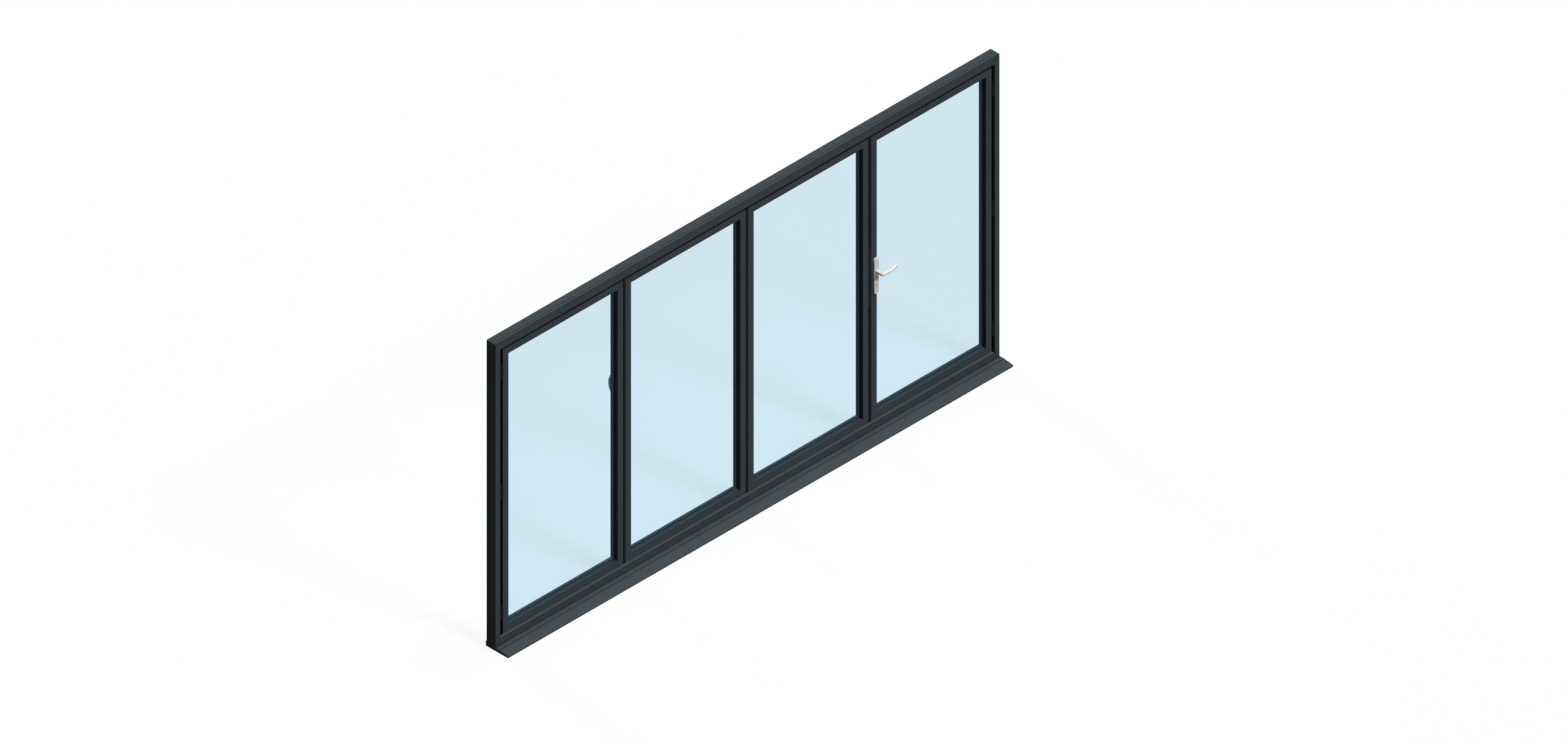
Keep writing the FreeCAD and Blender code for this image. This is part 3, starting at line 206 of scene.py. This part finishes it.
def paintedEdgeShade(tree, width):
    # where the painted edge shade lies: 1 on a sharp edge or in a corner, 0 from a few millimetres off
    # it
    geometry = addNode(tree, "ShaderNodeNewGeometry")
    rounded = addNode(tree, "ShaderNodeBevel", {"Radius": width}, samples=8)
    turned = addNode(tree, "ShaderNodeVectorMath", {
        0: rounded.outputs["Normal"], 1: geometry.outputs["Normal"],
    }, operation="DOT_PRODUCT")
    # the line starts where the two directions differ by 4 degrees and is full at 22 degrees
    shadeLine = addNode(tree, "ShaderNodeMapRange", {
        "Value": turned.outputs["Value"],
        "From Min": 0.997, "From Max": 0.93, "To Min": 0.0, "To Max": 1.0,
    })
    # a tight mitre isn't such an edge: there the rounded direction leans sideways and upwards at once
    lean = addNode(tree, "ShaderNodeSeparateXYZ", {0: rounded.outputs["Normal"]})
    both = addNode(tree, "ShaderNodeMath", {
        0: lean.outputs["X"], 1: lean.outputs["Z"],
    }, operation="MULTIPLY")
    mitre = addNode(tree, "ShaderNodeMath", {0: both.outputs[0]}, operation="ABSOLUTE")
    plain = addNode(tree, "ShaderNodeMapRange", {
        "Value": mitre.outputs[0], "From Min": 0.002, "From Max": 0.02, "To Min": 1.0, "To Max": 0.0,
    })
    return addNode(tree, "ShaderNodeMath", {
        0: shadeLine.outputs[0], 1: plain.outputs[0],
    }, operation="MULTIPLY").outputs[0]


def smallBevel(tree):
    # 1 on the narrow bevels between the square faces of an extrusion, 0 on those faces
    geometry = addNode(tree, "ShaderNodeNewGeometry")
    size = addNode(tree, "ShaderNodeVectorMath", {0: geometry.outputs["Normal"]}, operation="ABSOLUTE")
    parts = addNode(tree, "ShaderNodeSeparateXYZ", {0: size.outputs[0]})
    level = addNode(tree, "ShaderNodeMath", {
        0: parts.outputs["X"], 1: parts.outputs["Y"],
    }, operation="MAXIMUM")
    most = addNode(tree, "ShaderNodeMath", {
        0: level.outputs[0], 1: parts.outputs["Z"],
    }, operation="MAXIMUM")
    return addNode(tree, "ShaderNodeMapRange", {
        "Value": most.outputs[0], "From Min": 0.95, "From Max": 0.85, "To Min": 0.0, "To Max": 1.0,
    }).outputs[0]


def powderCoat(name, colour, values, foldsAt=(), bevels=False, treadLight=False):
    # matt polyester powder on extruded aluminium, baked on: an even dark grey with a faint orange
    # peel, which breaks up the light just enough to read as paint and not as bare metal or plastic
    material, tree = newMaterial(name)
    base = linear(colour)
    place = addNode(tree, "ShaderNodeTexCoord")
    # the real peel is 1 to 2 mm across; it is drawn at 9 mm, or it wouldn't show at this distance
    peel = addNode(tree, "ShaderNodeTexNoise", {
        "Vector": place.outputs["Object"], "Scale": values["peelScale"], "Detail": 3, "Roughness": 0.6,
    })
    # long faint clouds from the spray passes and handling, about 300 mm
    cloud = addNode(tree, "ShaderNodeTexNoise", {
        "Vector": place.outputs["Object"], "Scale": values["cloudScale"], "Detail": 2,
    })
    mixed = addNode(tree, "ShaderNodeMath", {
        0: peel.outputs["Fac"], 1: cloud.outputs["Fac"],
    }, operation="ADD")
    tone = addNode(tree, "ShaderNodeMapRange", {
        "Value": mixed.outputs[0], "From Min": 0.7, "From Max": 1.3, "To Min": 0.0, "To Max": 1.0,
    })
    colourMix = addNode(tree, "ShaderNodeMix", {
        0: tone.outputs[0], 6: shade(base, 0.93), 7: shade(base, 1.07),
    }, data_type="RGBA")
    coatTone = colourMix.outputs[2]
    if treadLight:
        # painted light: an upward face is drawn lighter along its front, as if lit under the leaves
        geometry = addNode(tree, "ShaderNodeNewGeometry")
        facing = addNode(tree, "ShaderNodeSeparateXYZ", {0: geometry.outputs["Normal"]})
        upward = addNode(tree, "ShaderNodeMapRange", {
            "Value": facing.outputs["Z"],
            "From Min": 0.9, "From Max": 0.98, "To Min": 0.0, "To Max": 1.0,
        })
        treadEnds = values["treadEnds"]
        depth = addNode(tree, "ShaderNodeSeparateXYZ", {0: place.outputs["Object"]})
        front = addNode(tree, "ShaderNodeMapRange", {
            "Value": depth.outputs["Y"], "From Min": treadEnds[0], "From Max": treadEnds[1],
            "To Min": 1.0, "To Max": 0.0,
        })
        paintedLightMask = addNode(tree, "ShaderNodeMath", {
            0: upward.outputs[0], 1: front.outputs[0],
        }, operation="MULTIPLY")
        coatTone = addNode(tree, "ShaderNodeMix", {
            0: paintedLightMask.outputs[0], 6: coatTone, 7: shade(base, values["treadLight"]),
        }, data_type="RGBA").outputs[2]
    # painted shade: each edge and each corner is drawn as a fine dark line
    shadeLine = paintedEdgeShade(tree, values["shadeLineWidth"])
    foldStart, foldEnd = values["foldHalf"]
    for foldAt in foldsAt:
        # painted shade: the same dark line along a shallow fold or a foot, which runs from side to side
        # at this depth
        parts = addNode(tree, "ShaderNodeSeparateXYZ", {0: place.outputs["Object"]})
        off = addNode(tree, "ShaderNodeMath", {0: parts.outputs["Y"], 1: foldAt}, operation="SUBTRACT")
        far = addNode(tree, "ShaderNodeMath", {0: off.outputs[0]}, operation="ABSOLUTE")
        foldShade = addNode(tree, "ShaderNodeMapRange", {
            "Value": far.outputs[0], "From Min": foldStart, "From Max": foldEnd,
            "To Min": 0.9, "To Max": 0.0,
        })
        shadeLine = addNode(tree, "ShaderNodeMath", {
            0: shadeLine, 1: foldShade.outputs[0],
        }, operation="MAXIMUM").outputs[0]
    # painted shade: the narrow bevels are drawn as dark as the edges
    if bevels:
        shadeLine = addNode(tree, "ShaderNodeMath", {
            0: shadeLine, 1: smallBevel(tree),
        }, operation="MAXIMUM").outputs[0]
    # the painted edge shade goes into the coat's colour here
    shadeLined = addNode(tree, "ShaderNodeMix", {
        0: shadeLine, 6: coatTone, 7: shade(base, values["shadeLineTone"]),
    }, data_type="RGBA")
    rough = addNode(tree, "ShaderNodeMapRange", {
        "Value": peel.outputs["Fac"],
        "To Min": values["roughness"] - 0.07, "To Max": values["roughness"] + 0.07,
    })
    bump = addNode(tree, "ShaderNodeBump", {
        "Height": peel.outputs["Fac"], "Strength": values["peelDepth"], "Distance": 0.0006,
    })
    coat = addNode(tree, "ShaderNodeBsdfPrincipled", {
        "Base Color": shadeLined.outputs[2], "Roughness": rough.outputs[0], "Normal": bump.outputs[0],
        "Specular IOR Level": values["gloss"],
    })
    addNode(tree, "ShaderNodeOutputMaterial", {"Surface": coat.outputs[0]})
    return material


glassSettings = {
    "tint": (0.79, 0.885, 0.933, 1.0),  # of one sheet; the unit has two
    # float glass has 1.5, but then the white room would lie like milk over the dark frame behind it
    "ior": 1.09,
    "reflection": (0.0, 0.56, 1.0, 1.0),  # the blue cast of a coated sheet
    "shadow": (0.93, 0.96, 0.97, 1.0),    # what a sheet lets through to the floor
    "waveScale": 4,
}


def floatGlass(name, values):
    # clear float glass in a sealed unit: see-through with the slight cold green-blue of its edge,
    # so that white behind it looks pale blue and dark things behind it stay dark
    material, tree = newMaterial(name)
    place = addNode(tree, "ShaderNodeTexCoord")
    # roller waves, the slow ripple that toughened sheets have, about 250 mm apart
    wave = addNode(tree, "ShaderNodeTexNoise", {
        "Vector": place.outputs["Object"], "Scale": values["waveScale"], "Detail": 1,
    })
    bump = addNode(tree, "ShaderNodeBump", {
        "Height": wave.outputs["Fac"], "Strength": 0.04, "Distance": 0.0002,
    })
    glass = addNode(tree, "ShaderNodeBsdfPrincipled", {
        "Base Color": values["tint"],
        "Roughness": 0.0, "IOR": values["ior"], "Transmission Weight": 1.0,
        "Specular Tint": values["reflection"], "Normal": bump.outputs[0],
    })
    clear = addNode(tree, "ShaderNodeBsdfTransparent", {"Color": values["shadow"]})
    path = addNode(tree, "ShaderNodeLightPath")
    mixed = addNode(tree, "ShaderNodeMixShader", {
        0: path.outputs["Is Shadow Ray"], 1: glass.outputs[0], 2: clear.outputs[0],
    })
    addNode(tree, "ShaderNodeOutputMaterial", {"Surface": mixed.outputs[0]})
    return material


rubberSettings = {
    "stops": "#151617",   # weather seals behind the leaves
    "joints": "#2B2F31",  # seals between the leaves
    "pile": "#1C1E1F",    # woven pile on top of the leaves
    "glazing": "#36464E",  # gaskets at the glass, which show blue grey through it
    "roughness": 0.8,
    "grainScale": 260,
    "gloss": 0.03,
}


def extrudedRubber(name, colour, values):
    # EPDM, extruded: dull, with a fine grain, so it reads as a soft dark line beside the metal
    material, tree = newMaterial(name)
    base = linear(colour)
    place = addNode(tree, "ShaderNodeTexCoord")
    grain = addNode(tree, "ShaderNodeTexNoise", {
        "Vector": place.outputs["Object"], "Scale": values["grainScale"], "Detail": 2,
    })
    tone = addNode(tree, "ShaderNodeMix", {
        0: grain.outputs["Fac"], 6: shade(base, 0.7), 7: shade(base, 1.3),
    }, data_type="RGBA")
    bump = addNode(tree, "ShaderNodeBump", {
        "Height": grain.outputs["Fac"], "Strength": 0.2, "Distance": 0.0003,
    })
    rubber = addNode(tree, "ShaderNodeBsdfPrincipled", {
        "Base Color": tone.outputs[2], "Roughness": values["roughness"], "Normal": bump.outputs[0],
        "Specular IOR Level": values["gloss"],
    })
    addNode(tree, "ShaderNodeOutputMaterial", {"Surface": rubber.outputs[0]})
    return material


def wovenPile(name, colour):
    # short upright polypropylene fibres: a soft black that takes no light, streaked from tuft to tuft
    material, tree = newMaterial(name)
    base = linear(colour)
    place = addNode(tree, "ShaderNodeTexCoord")
    # the fibres are 0.1 mm thick; the streaks stand for tufts of about 2 mm
    along = addNode(tree, "ShaderNodeMapping", {
        "Vector": place.outputs["Object"], "Scale": (500, 500, 30),
    })
    tufts = addNode(tree, "ShaderNodeTexNoise", {"Vector": along.outputs[0], "Scale": 1.0, "Detail": 3})
    tone = addNode(tree, "ShaderNodeMix", {
        0: tufts.outputs["Fac"], 6: shade(base, 0.5), 7: shade(base, 1.4),
    }, data_type="RGBA")
    fibres = addNode(tree, "ShaderNodeBsdfPrincipled", {
        "Base Color": tone.outputs[2], "Roughness": 0.95, "Specular IOR Level": 0.0,
    })
    addNode(tree, "ShaderNodeOutputMaterial", {"Surface": fibres.outputs[0]})
    return material


plasticSettings = {
    "trim": "#353B3F",    # end caps of the cill and corner plugs
    "spacer": "#333A40",  # the bar between the two sheets of glass
    "roughness": 0.58,
    "stippleScale": 400,
    "gloss": 0.03,
}


def mouldedNylon(name, colour, values):
    # glass-filled nylon from a spark-eroded mould: an even matt surface with a fine stipple, so it
    # reads as plastic beside the coat
    material, tree = newMaterial(name)
    base = linear(colour)
    place = addNode(tree, "ShaderNodeTexCoord")
    stipple = addNode(tree, "ShaderNodeTexNoise", {
        "Vector": place.outputs["Object"], "Scale": values["stippleScale"], "Detail": 4,
    })
    tone = addNode(tree, "ShaderNodeMix", {
        0: stipple.outputs["Fac"], 6: shade(base, 0.9), 7: shade(base, 1.1),
    }, data_type="RGBA")
    bump = addNode(tree, "ShaderNodeBump", {
        "Height": stipple.outputs["Fac"], "Strength": 0.15, "Distance": 0.0002,
    })
    plastic = addNode(tree, "ShaderNodeBsdfPrincipled", {
        "Base Color": tone.outputs[2], "Roughness": values["roughness"], "Normal": bump.outputs[0],
        "Specular IOR Level": values["gloss"],
    })
    addNode(tree, "ShaderNodeOutputMaterial", {"Surface": plastic.outputs[0]})
    return material


metalSettings = {
    "satin": "#CBC9C6",   # silver anodised handle furniture
    "nickel": "#B9B6AE",  # the lock cylinder
    "steel": "#A9A9A6",   # stainless faceplate, spindle and keeps
}


def brushedMetal(name, colour, roughness, lineScale, metallic, gleam=0.5):
    # die-cast or rolled metal with a satin finish: fine lines that spread its highlight into a
    # soft band, so it reads as metal that hands have kept clean
    material, tree = newMaterial(name)
    base = linear(colour)
    place = addNode(tree, "ShaderNodeTexCoord")
    along = addNode(tree, "ShaderNodeMapping", {"Vector": place.outputs["Object"], "Scale": lineScale})
    lines = addNode(tree, "ShaderNodeTexNoise", {"Vector": along.outputs[0], "Scale": 1.0, "Detail": 5})
    tone = addNode(tree, "ShaderNodeMix", {
        0: lines.outputs["Fac"], 6: shade(base, 0.88), 7: shade(base, 1.08),
    }, data_type="RGBA")
    rough = addNode(tree, "ShaderNodeMapRange", {
        "Value": lines.outputs["Fac"], "To Min": roughness - 0.08, "To Max": roughness + 0.08,
    })
    bump = addNode(tree, "ShaderNodeBump", {
        "Height": lines.outputs["Fac"], "Strength": 0.1, "Distance": 0.0001,
    })
    metal = addNode(tree, "ShaderNodeBsdfPrincipled", {
        "Base Color": tone.outputs[2], "Metallic": metallic, "Roughness": rough.outputs[0],
        "Normal": bump.outputs[0], "Specular IOR Level": gleam,
    })
    addNode(tree, "ShaderNodeOutputMaterial", {"Surface": metal.outputs[0]})
    return material


lineAcross = (60, 60, 1400)    # lines that run across the face, 0.7 mm apart
lineUpright = (1400, 1400, 60)
cillFolds = (-0.0705, -0.0360)  # depths of the painted shade lines at the fold behind the nose and at the upstand's foot, m
finishes = {
    "frameCoat": powderCoat("powderCoatFrame", coatSettings["frame"], coatSettings, bevels=True),
    "thresholdCoat": powderCoat(
        "powderCoatThreshold", coatSettings["frame"], coatSettings, bevels=True, treadLight=True
    ),
    "leafCoat": powderCoat("powderCoatLeaf", coatSettings["leaf"], coatSettings, bevels=True),
    "cillCoat": powderCoat("powderCoatCill", coatSettings["cill"], coatSettings, foldsAt=cillFolds),
    "glass": floatGlass("clearFloatGlass", glassSettings),
    "stopRubber": extrudedRubber("blackEpdmStopSeal", rubberSettings["stops"], rubberSettings),
    "jointRubber": extrudedRubber("blackEpdmJointSeal", rubberSettings["joints"], rubberSettings),
    "pile": wovenPile("blackWovenPile", rubberSettings["pile"]),
    "glazingRubber": extrudedRubber("greyEpdmGlazingGasket", rubberSettings["glazing"], rubberSettings),
    "trim": mouldedNylon("mouldedNylonTrim", plasticSettings["trim"], plasticSettings),
    "spacer": mouldedNylon("warmEdgeSpacer", plasticSettings["spacer"], plasticSettings),
    # the blasted and anodised skin of the furniture is pale and hardly mirrors: little metallic
    "satin": brushedMetal("satinAnodisedAluminium", metalSettings["satin"], 0.5, lineAcross, 0.04, 0.2),
    "nickel": brushedMetal("satinNickelBrass", metalSettings["nickel"], 0.32, lineUpright, 1.0),
    "steel": brushedMetal("brushedStainlessSteel", metalSettings["steel"], 0.35, lineUpright, 1.0),
    "darkHardware": powderCoat("powderCoatHardware", coatSettings["frame"], coatSettings),
    "blackHardware": powderCoat("powderCoatHinges", coatSettings["hinges"], coatSettings),
}
finishOfSlot = {
    "frame_coat": "frameCoat",
    "leaf_coat": "leafCoat",
    "cill_coat": "cillCoat",
    "glass": "glass",
    "spacer": "spacer",
    "rubber": "stopRubber",
    "satin_hardware": "satin",
    "steel": "steel",
    "dark_hardware": "darkHardware",
    "moulded_trim": "trim",
}
ownFinish = {
    "threshold": "thresholdCoat",
    "lock_cylinder": "nickel",
    "glazing_seals_folding": "glazingRubber",
    "glazing_seals_door": "glazingRubber",
    "meeting_seals": "jointRubber",
    "door_meeting_seal": "jointRubber",
    "roller_carriage": "blackHardware",
    "bottom_guide": "blackHardware",
    "jamb_hinges": "blackHardware",
    "outside_fold_hinges": "blackHardware",
    "door_hinges_frame_side": "blackHardware",
    "door_hinges_leaf_side": "blackHardware",
}

for part in frame["record"]["subparts"]:
    finish = ownFinish.get(part["node"]) or finishOfSlot[part["material_slot"]]
    mesh = nodes[part["node"]].data
    mesh.materials.clear()
    mesh.materials.append(finishes[finish])
print("materials given to", len(nodes), "nodes")


def addPiece(name, mesh, finish, body):
    # a new piece with its finish, its slot and the body that it moves with
    for face in mesh.faces:
        face.smooth = False
    bmesh.ops.recalc_face_normals(mesh, faces=mesh.faces)
    data = bpy.data.meshes.new(name)
    mesh.to_mesh(data)
    mesh.free()
    data.materials.append(finishes[finish])
    piece = bpy.data.objects.new(name, data)
    scene.collection.objects.link(piece)
    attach(piece, body)
    return piece


def addRings(mesh, rings, close=True):
    # joins rings of points, each the same count, by quads; the first and the last are capped
    made = [[mesh.verts.new(point) for point in ring] for ring in rings]
    count = len(rings[0])
    for low, high in zip(made, made[1:]):
        for at in range(count):
            following = (at + 1) % count
            mesh.faces.new((low[at], low[following], high[following], high[at]))
    if close:
        mesh.faces.new(made[0])
        mesh.faces.new(made[-1])


# The pile strip along the top of each leaf, which darkens the gap under the head
pileSettings = {
    "front": -0.0310,   # its front, from outside to inside, m
    "back": -0.0265,
    "foot": 2.0351,     # on top of the leaves
    "backing": 0.0024,  # height of the strip that holds the pile
    "tip": 2.0463,      # just under the head
    "ragged": 0.0004,   # how much the tips differ
    "half": 0.0016,     # half the width of the pile
    "lean": 0.0003,     # how far a tuft leans
    "seam": 0.00005,    # between the pile and its backing
    "pitch": 0.006,     # from one tuft to the next
    "inset": 0.002,     # ends this far inside the leaf's edges
}
leafEdges = [(-1.9400, -0.9825), (-0.9670, -0.0095), (0.0060, 0.9635), (0.9825, 1.9400)]


def pileStrip(mesh, start, end, values):
    front, back, foot = values["front"], values["back"], values["foot"]
    top = foot + values["backing"]
    base = top + values["seam"]
    addRings(mesh, [
        [(x, front, foot), (x, back, foot), (x, back, top), (x, front, top)] for x in (start, end)
    ])
    count = round((end - start) / values["pitch"])
    middle = (front + back) / 2
    rings = []
    for at in range(count + 1):
        x = start + (end - start) * at / count
        tip = values["tip"] - values["ragged"] * (0.5 + 0.5 * math.sin(at * 2.4) * math.cos(at * 0.7))
        lean = values["lean"] * math.sin(at * 1.9)
        near, far = middle - values["half"] + lean, middle + values["half"] + lean
        rings.append([(x, near, base), (x, far, base), (x, far, tip), (x, near, tip)])
    addRings(mesh, rings)


for at, (start, end) in enumerate(leafEdges):
    strip = bmesh.new()
    pileStrip(strip, start + pileSettings["inset"], end - pileSettings["inset"], pileSettings)
    body = "traffic_door" if at == 3 else "frame"
    addPiece(f"pileStrip{at + 1}", strip, "pile", body)
print("pile strips made")


# Screw heads with a cross recess, on the hinges, the lock strips and the inside plate
screwSettings = {
    "segments": 24,
    "dome": 0.32,      # height of the head as a share of its radius
    "recess": 0.62,    # length of the cross as a share of the radius
    "slot": 0.17,      # half the width of one bar of the cross
    "deep": 0.24,      # depth of the cross
}


def screwHead(mesh, middle, outward, radius, values, turn=0.0):
    # outward is the axis the head looks along
    aside = Vector((0, 0, 1)).cross(outward).normalized()
    upward = outward.cross(aside)
    shares = (1.0, 0.96, 0.8, 0.62, 0.5, 0.34, 0.17, 0.06)
    rings = [[], *[[] for share in shares]]
    for at in range(values["segments"]):
        angle = math.tau * at / values["segments"]
        across, along = math.cos(angle), math.sin(angle)
        rings[0].append(middle + (aside * across + upward * along) * radius)
        for ring, share in zip(rings[1:], shares):
            height = values["dome"] * (0.45 if share == 1.0 else 1 - 0.55 * share**2)
            x, y = share * math.cos(angle + turn), share * math.sin(angle + turn)
            inCross = min(abs(x), abs(y)) < values["slot"] and max(abs(x), abs(y)) < values["recess"]
            if inCross:
                height -= values["deep"]
            spoke = (aside * across + upward * along) * radius * share
            ring.append(middle + spoke + outward * radius * height)
    addRings(mesh, rings)


def screwSet(name, places, outward, radius, body):
    mesh = bmesh.new()
    for at, place in enumerate(places):
        screwHead(mesh, Vector(place), Vector(outward), radius, screwSettings, turn=0.4 + at * 1.1)
    return addPiece(name, mesh, "steel", body)


screwSets = {
    # where the heads lie, the way they look, their radius and their body
    "hingeScrews": (
        [(x, 0.01852, height + step) for height in (0.234, 1.0595, 1.885)
         for x in (-0.9985, -0.9510) for step in (-0.031, 0.0, 0.031)],
        (0, 1, 0), 0.0040, "frame",
    ),
    "plateScrews": (
        [(1.0165, 0.02702, z) for z in (0.9600, 1.1790)], (0, 1, 0), 0.0038, "traffic_door",
    ),
    "faceplateScrews": (
        [(0.98268, -0.0105, z) for z in (0.8720, 0.9700, 1.1500, 1.2670)],
        (-1, 0, 0), 0.0036, "traffic_door",
    ),
    "keepScrews": (
        [(0.96332, -0.0105, z) for z in (0.9800, 1.0585, 1.1590)], (1, 0, 0), 0.0036, "frame",
    ),
}
for name, (places, outward, radius, body) in screwSets.items():
    screwSet(name, places, outward, radius, body)
print("screws made")


# The latch and the bolt in the mouths of the faceplate
boltSettings = {
    "front": -0.0160,  # across the edge of the leaf, a little inside the mouths
    "back": -0.0050,
    "half": 0.0125,    # half their height
    "root": 0.9855,    # behind the faceplate
    "latch": {"tip": 0.9760, "slope": 0.0060, "height": 1.1045},
    "lockBolt": {"tip": 0.9820, "slope": 0.0004, "height": 1.0125},
}


def boltBlock(mesh, values, own):
    # slope is how much the outer side of the tip is cut back
    front, back, root, tip = values["front"], values["back"], values["root"], own["tip"]
    low, high = own["height"] - values["half"], own["height"] + values["half"]
    cut = tip + own["slope"]
    outline = [(root, front), (cut, front), (tip, back - 0.002), (tip, back), (root, back)]
    addRings(mesh, [[(x, y, z) for x, y in outline] for z in (low, low + 0.001, high - 0.001, high)])


for name in ("latch", "lockBolt"):
    block = bmesh.new()
    boltBlock(block, boltSettings, boltSettings[name])
    addPiece(name, block, "nickel", "traffic_door")
print("latch and bolt made")


# The turning plug of the lock cylinder, with its keyhole, on both sides of the door
plugSettings = {
    "middle": (1.0165, 1.0125),
    "outside": -0.04752,  # face of the cylinder
    "inside": 0.02952,
    "radius": 0.0062,
    "thick": 0.0007,
    "slotHalf": 0.00065,
    "slotLong": 0.0042,   # half its length
    "slotRing": (0.0040, 0.0052),  # the ring that is squeezed to the slot's outline
    "chamfer": 0.93,      # radius at the front as a share
    "points": 32,
}


def keyPlug(mesh, face, outward, values):
    # a disc with an upright slot in it: the ring of points inside runs round the slot
    x0, z0 = values["middle"]
    count, (ringWide, ringTall) = values["points"], values["slotRing"]
    outer, chamfer, inner = [], [], []
    for at in range(count):
        angle = math.tau * at / count
        x, z = math.cos(angle), math.sin(angle)
        outer.append((x * values["radius"], z * values["radius"]))
        chamfer.append(tuple(part * values["chamfer"] for part in outer[-1]))
        inner.append((
            max(-values["slotHalf"], min(values["slotHalf"], x * ringWide)),
            max(-values["slotLong"], min(values["slotLong"], z * ringTall)),
        ))
    thick = values["thick"] * outward
    addRings(mesh, [
        [(x0 + x, face, z0 + z) for x, z in outer],
        [(x0 + x, face + thick * 0.6, z0 + z) for x, z in outer],
        [(x0 + x, face + thick, z0 + z) for x, z in chamfer],
        [(x0 + x, face + thick, z0 + z) for x, z in inner],
        [(x0 + x, face + thick * 0.1, z0 + z) for x, z in inner],
    ], close=False)


def keyHole(mesh, face, outward, values):
    # painted shade: a thin black wedge at the bottom of the slot, for the shade deep in the keyway
    x0, z0 = values["middle"]
    wide, tall = values["slotHalf"] * 0.98, values["slotLong"] * 0.98
    depth = face + values["thick"] * 0.25 * outward
    corners = [(-wide, -tall), (wide, -tall), (wide, tall), (-wide, tall)]
    addRings(mesh, [[(x0 + x, y, z0 + z) for x, z in corners] for y in (face, depth)])


for side, outward in (("Outside", -1), ("Inside", 1)):
    face = plugSettings[side.lower()]
    plug = bmesh.new()
    keyPlug(plug, face, outward, plugSettings)
    addPiece("keyPlug" + side, plug, "steel", "traffic_door")
    hole = bmesh.new()
    keyHole(hole, face, outward, plugSettings)
    addPiece("keyHole" + side, hole, "stopRubber", "traffic_door")
print("cylinder plugs made")


# The inside pull on the first leaf: a flat bar bent to one long bow, its ends square on the stile
pullSettings = {
    "across": (-1.0115, -0.9995),  # from side to side, m
    "leafFace": 0.015,
    "reach": 0.047,     # off the leaf
    "middle": 1.303,    # height of its middle
    "length": 0.140,
    "thick": 0.011,
    "edge": 0.0022,     # rounding of its edges
    "steps": 56,
    "fullness": 0.86,   # under 1 makes the bow fuller than an ellipse
}


def bowPull(mesh, values):
    left, right = values["across"]
    half, edge = values["thick"] / 2, values["edge"]
    centre, wide = (left + right) / 2, (right - left) / 2
    aside = Vector((1, 0, 0))
    corners = []
    for signX, signN, first in ((1, 1, 0), (-1, 1, 90), (-1, -1, 180), (1, -1, 270)):
        for step in (0, 30, 60, 90):
            angle = math.radians(first + step)
            corners.append((
                signX * (wide - edge) + edge * math.cos(angle),
                signN * (half - edge) + edge * math.sin(angle),
            ))

    def spot(turn):
        # the middle of the bar, from its lower end at -90 degrees to its upper end at 90 degrees
        out = max(0.0, math.cos(turn)) ** values["fullness"] * (values["reach"] - half)
        along = math.sin(turn) * (values["length"] / 2 - half)
        return Vector((centre, values["leafFace"] + out, values["middle"] + along))

    rings = []
    for at in range(values["steps"] + 1):
        turn = math.pi * (at / values["steps"] - 0.5)
        tangent = spot(turn + 0.01) - spot(turn - 0.01)
        if at == 0:
            tangent = Vector((0, 1, 0))  # straight out of the stile
        if at == values["steps"]:
            tangent = Vector((0, -1, 0))  # and straight into it
        tangent.normalize()
        outward = aside.cross(tangent)
        rings.append([spot(turn) + aside * x - outward * n for x, n in corners])
    addRings(mesh, rings)


bow = bmesh.new()
bowPull(bow, pullSettings)
pull = addPiece("insidePullBow", bow, "satin", "frame")
for face in pull.data.polygons:
    face.use_smooth = len(face.vertices) == 4
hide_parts("inside_pull")
print("inside pull made")
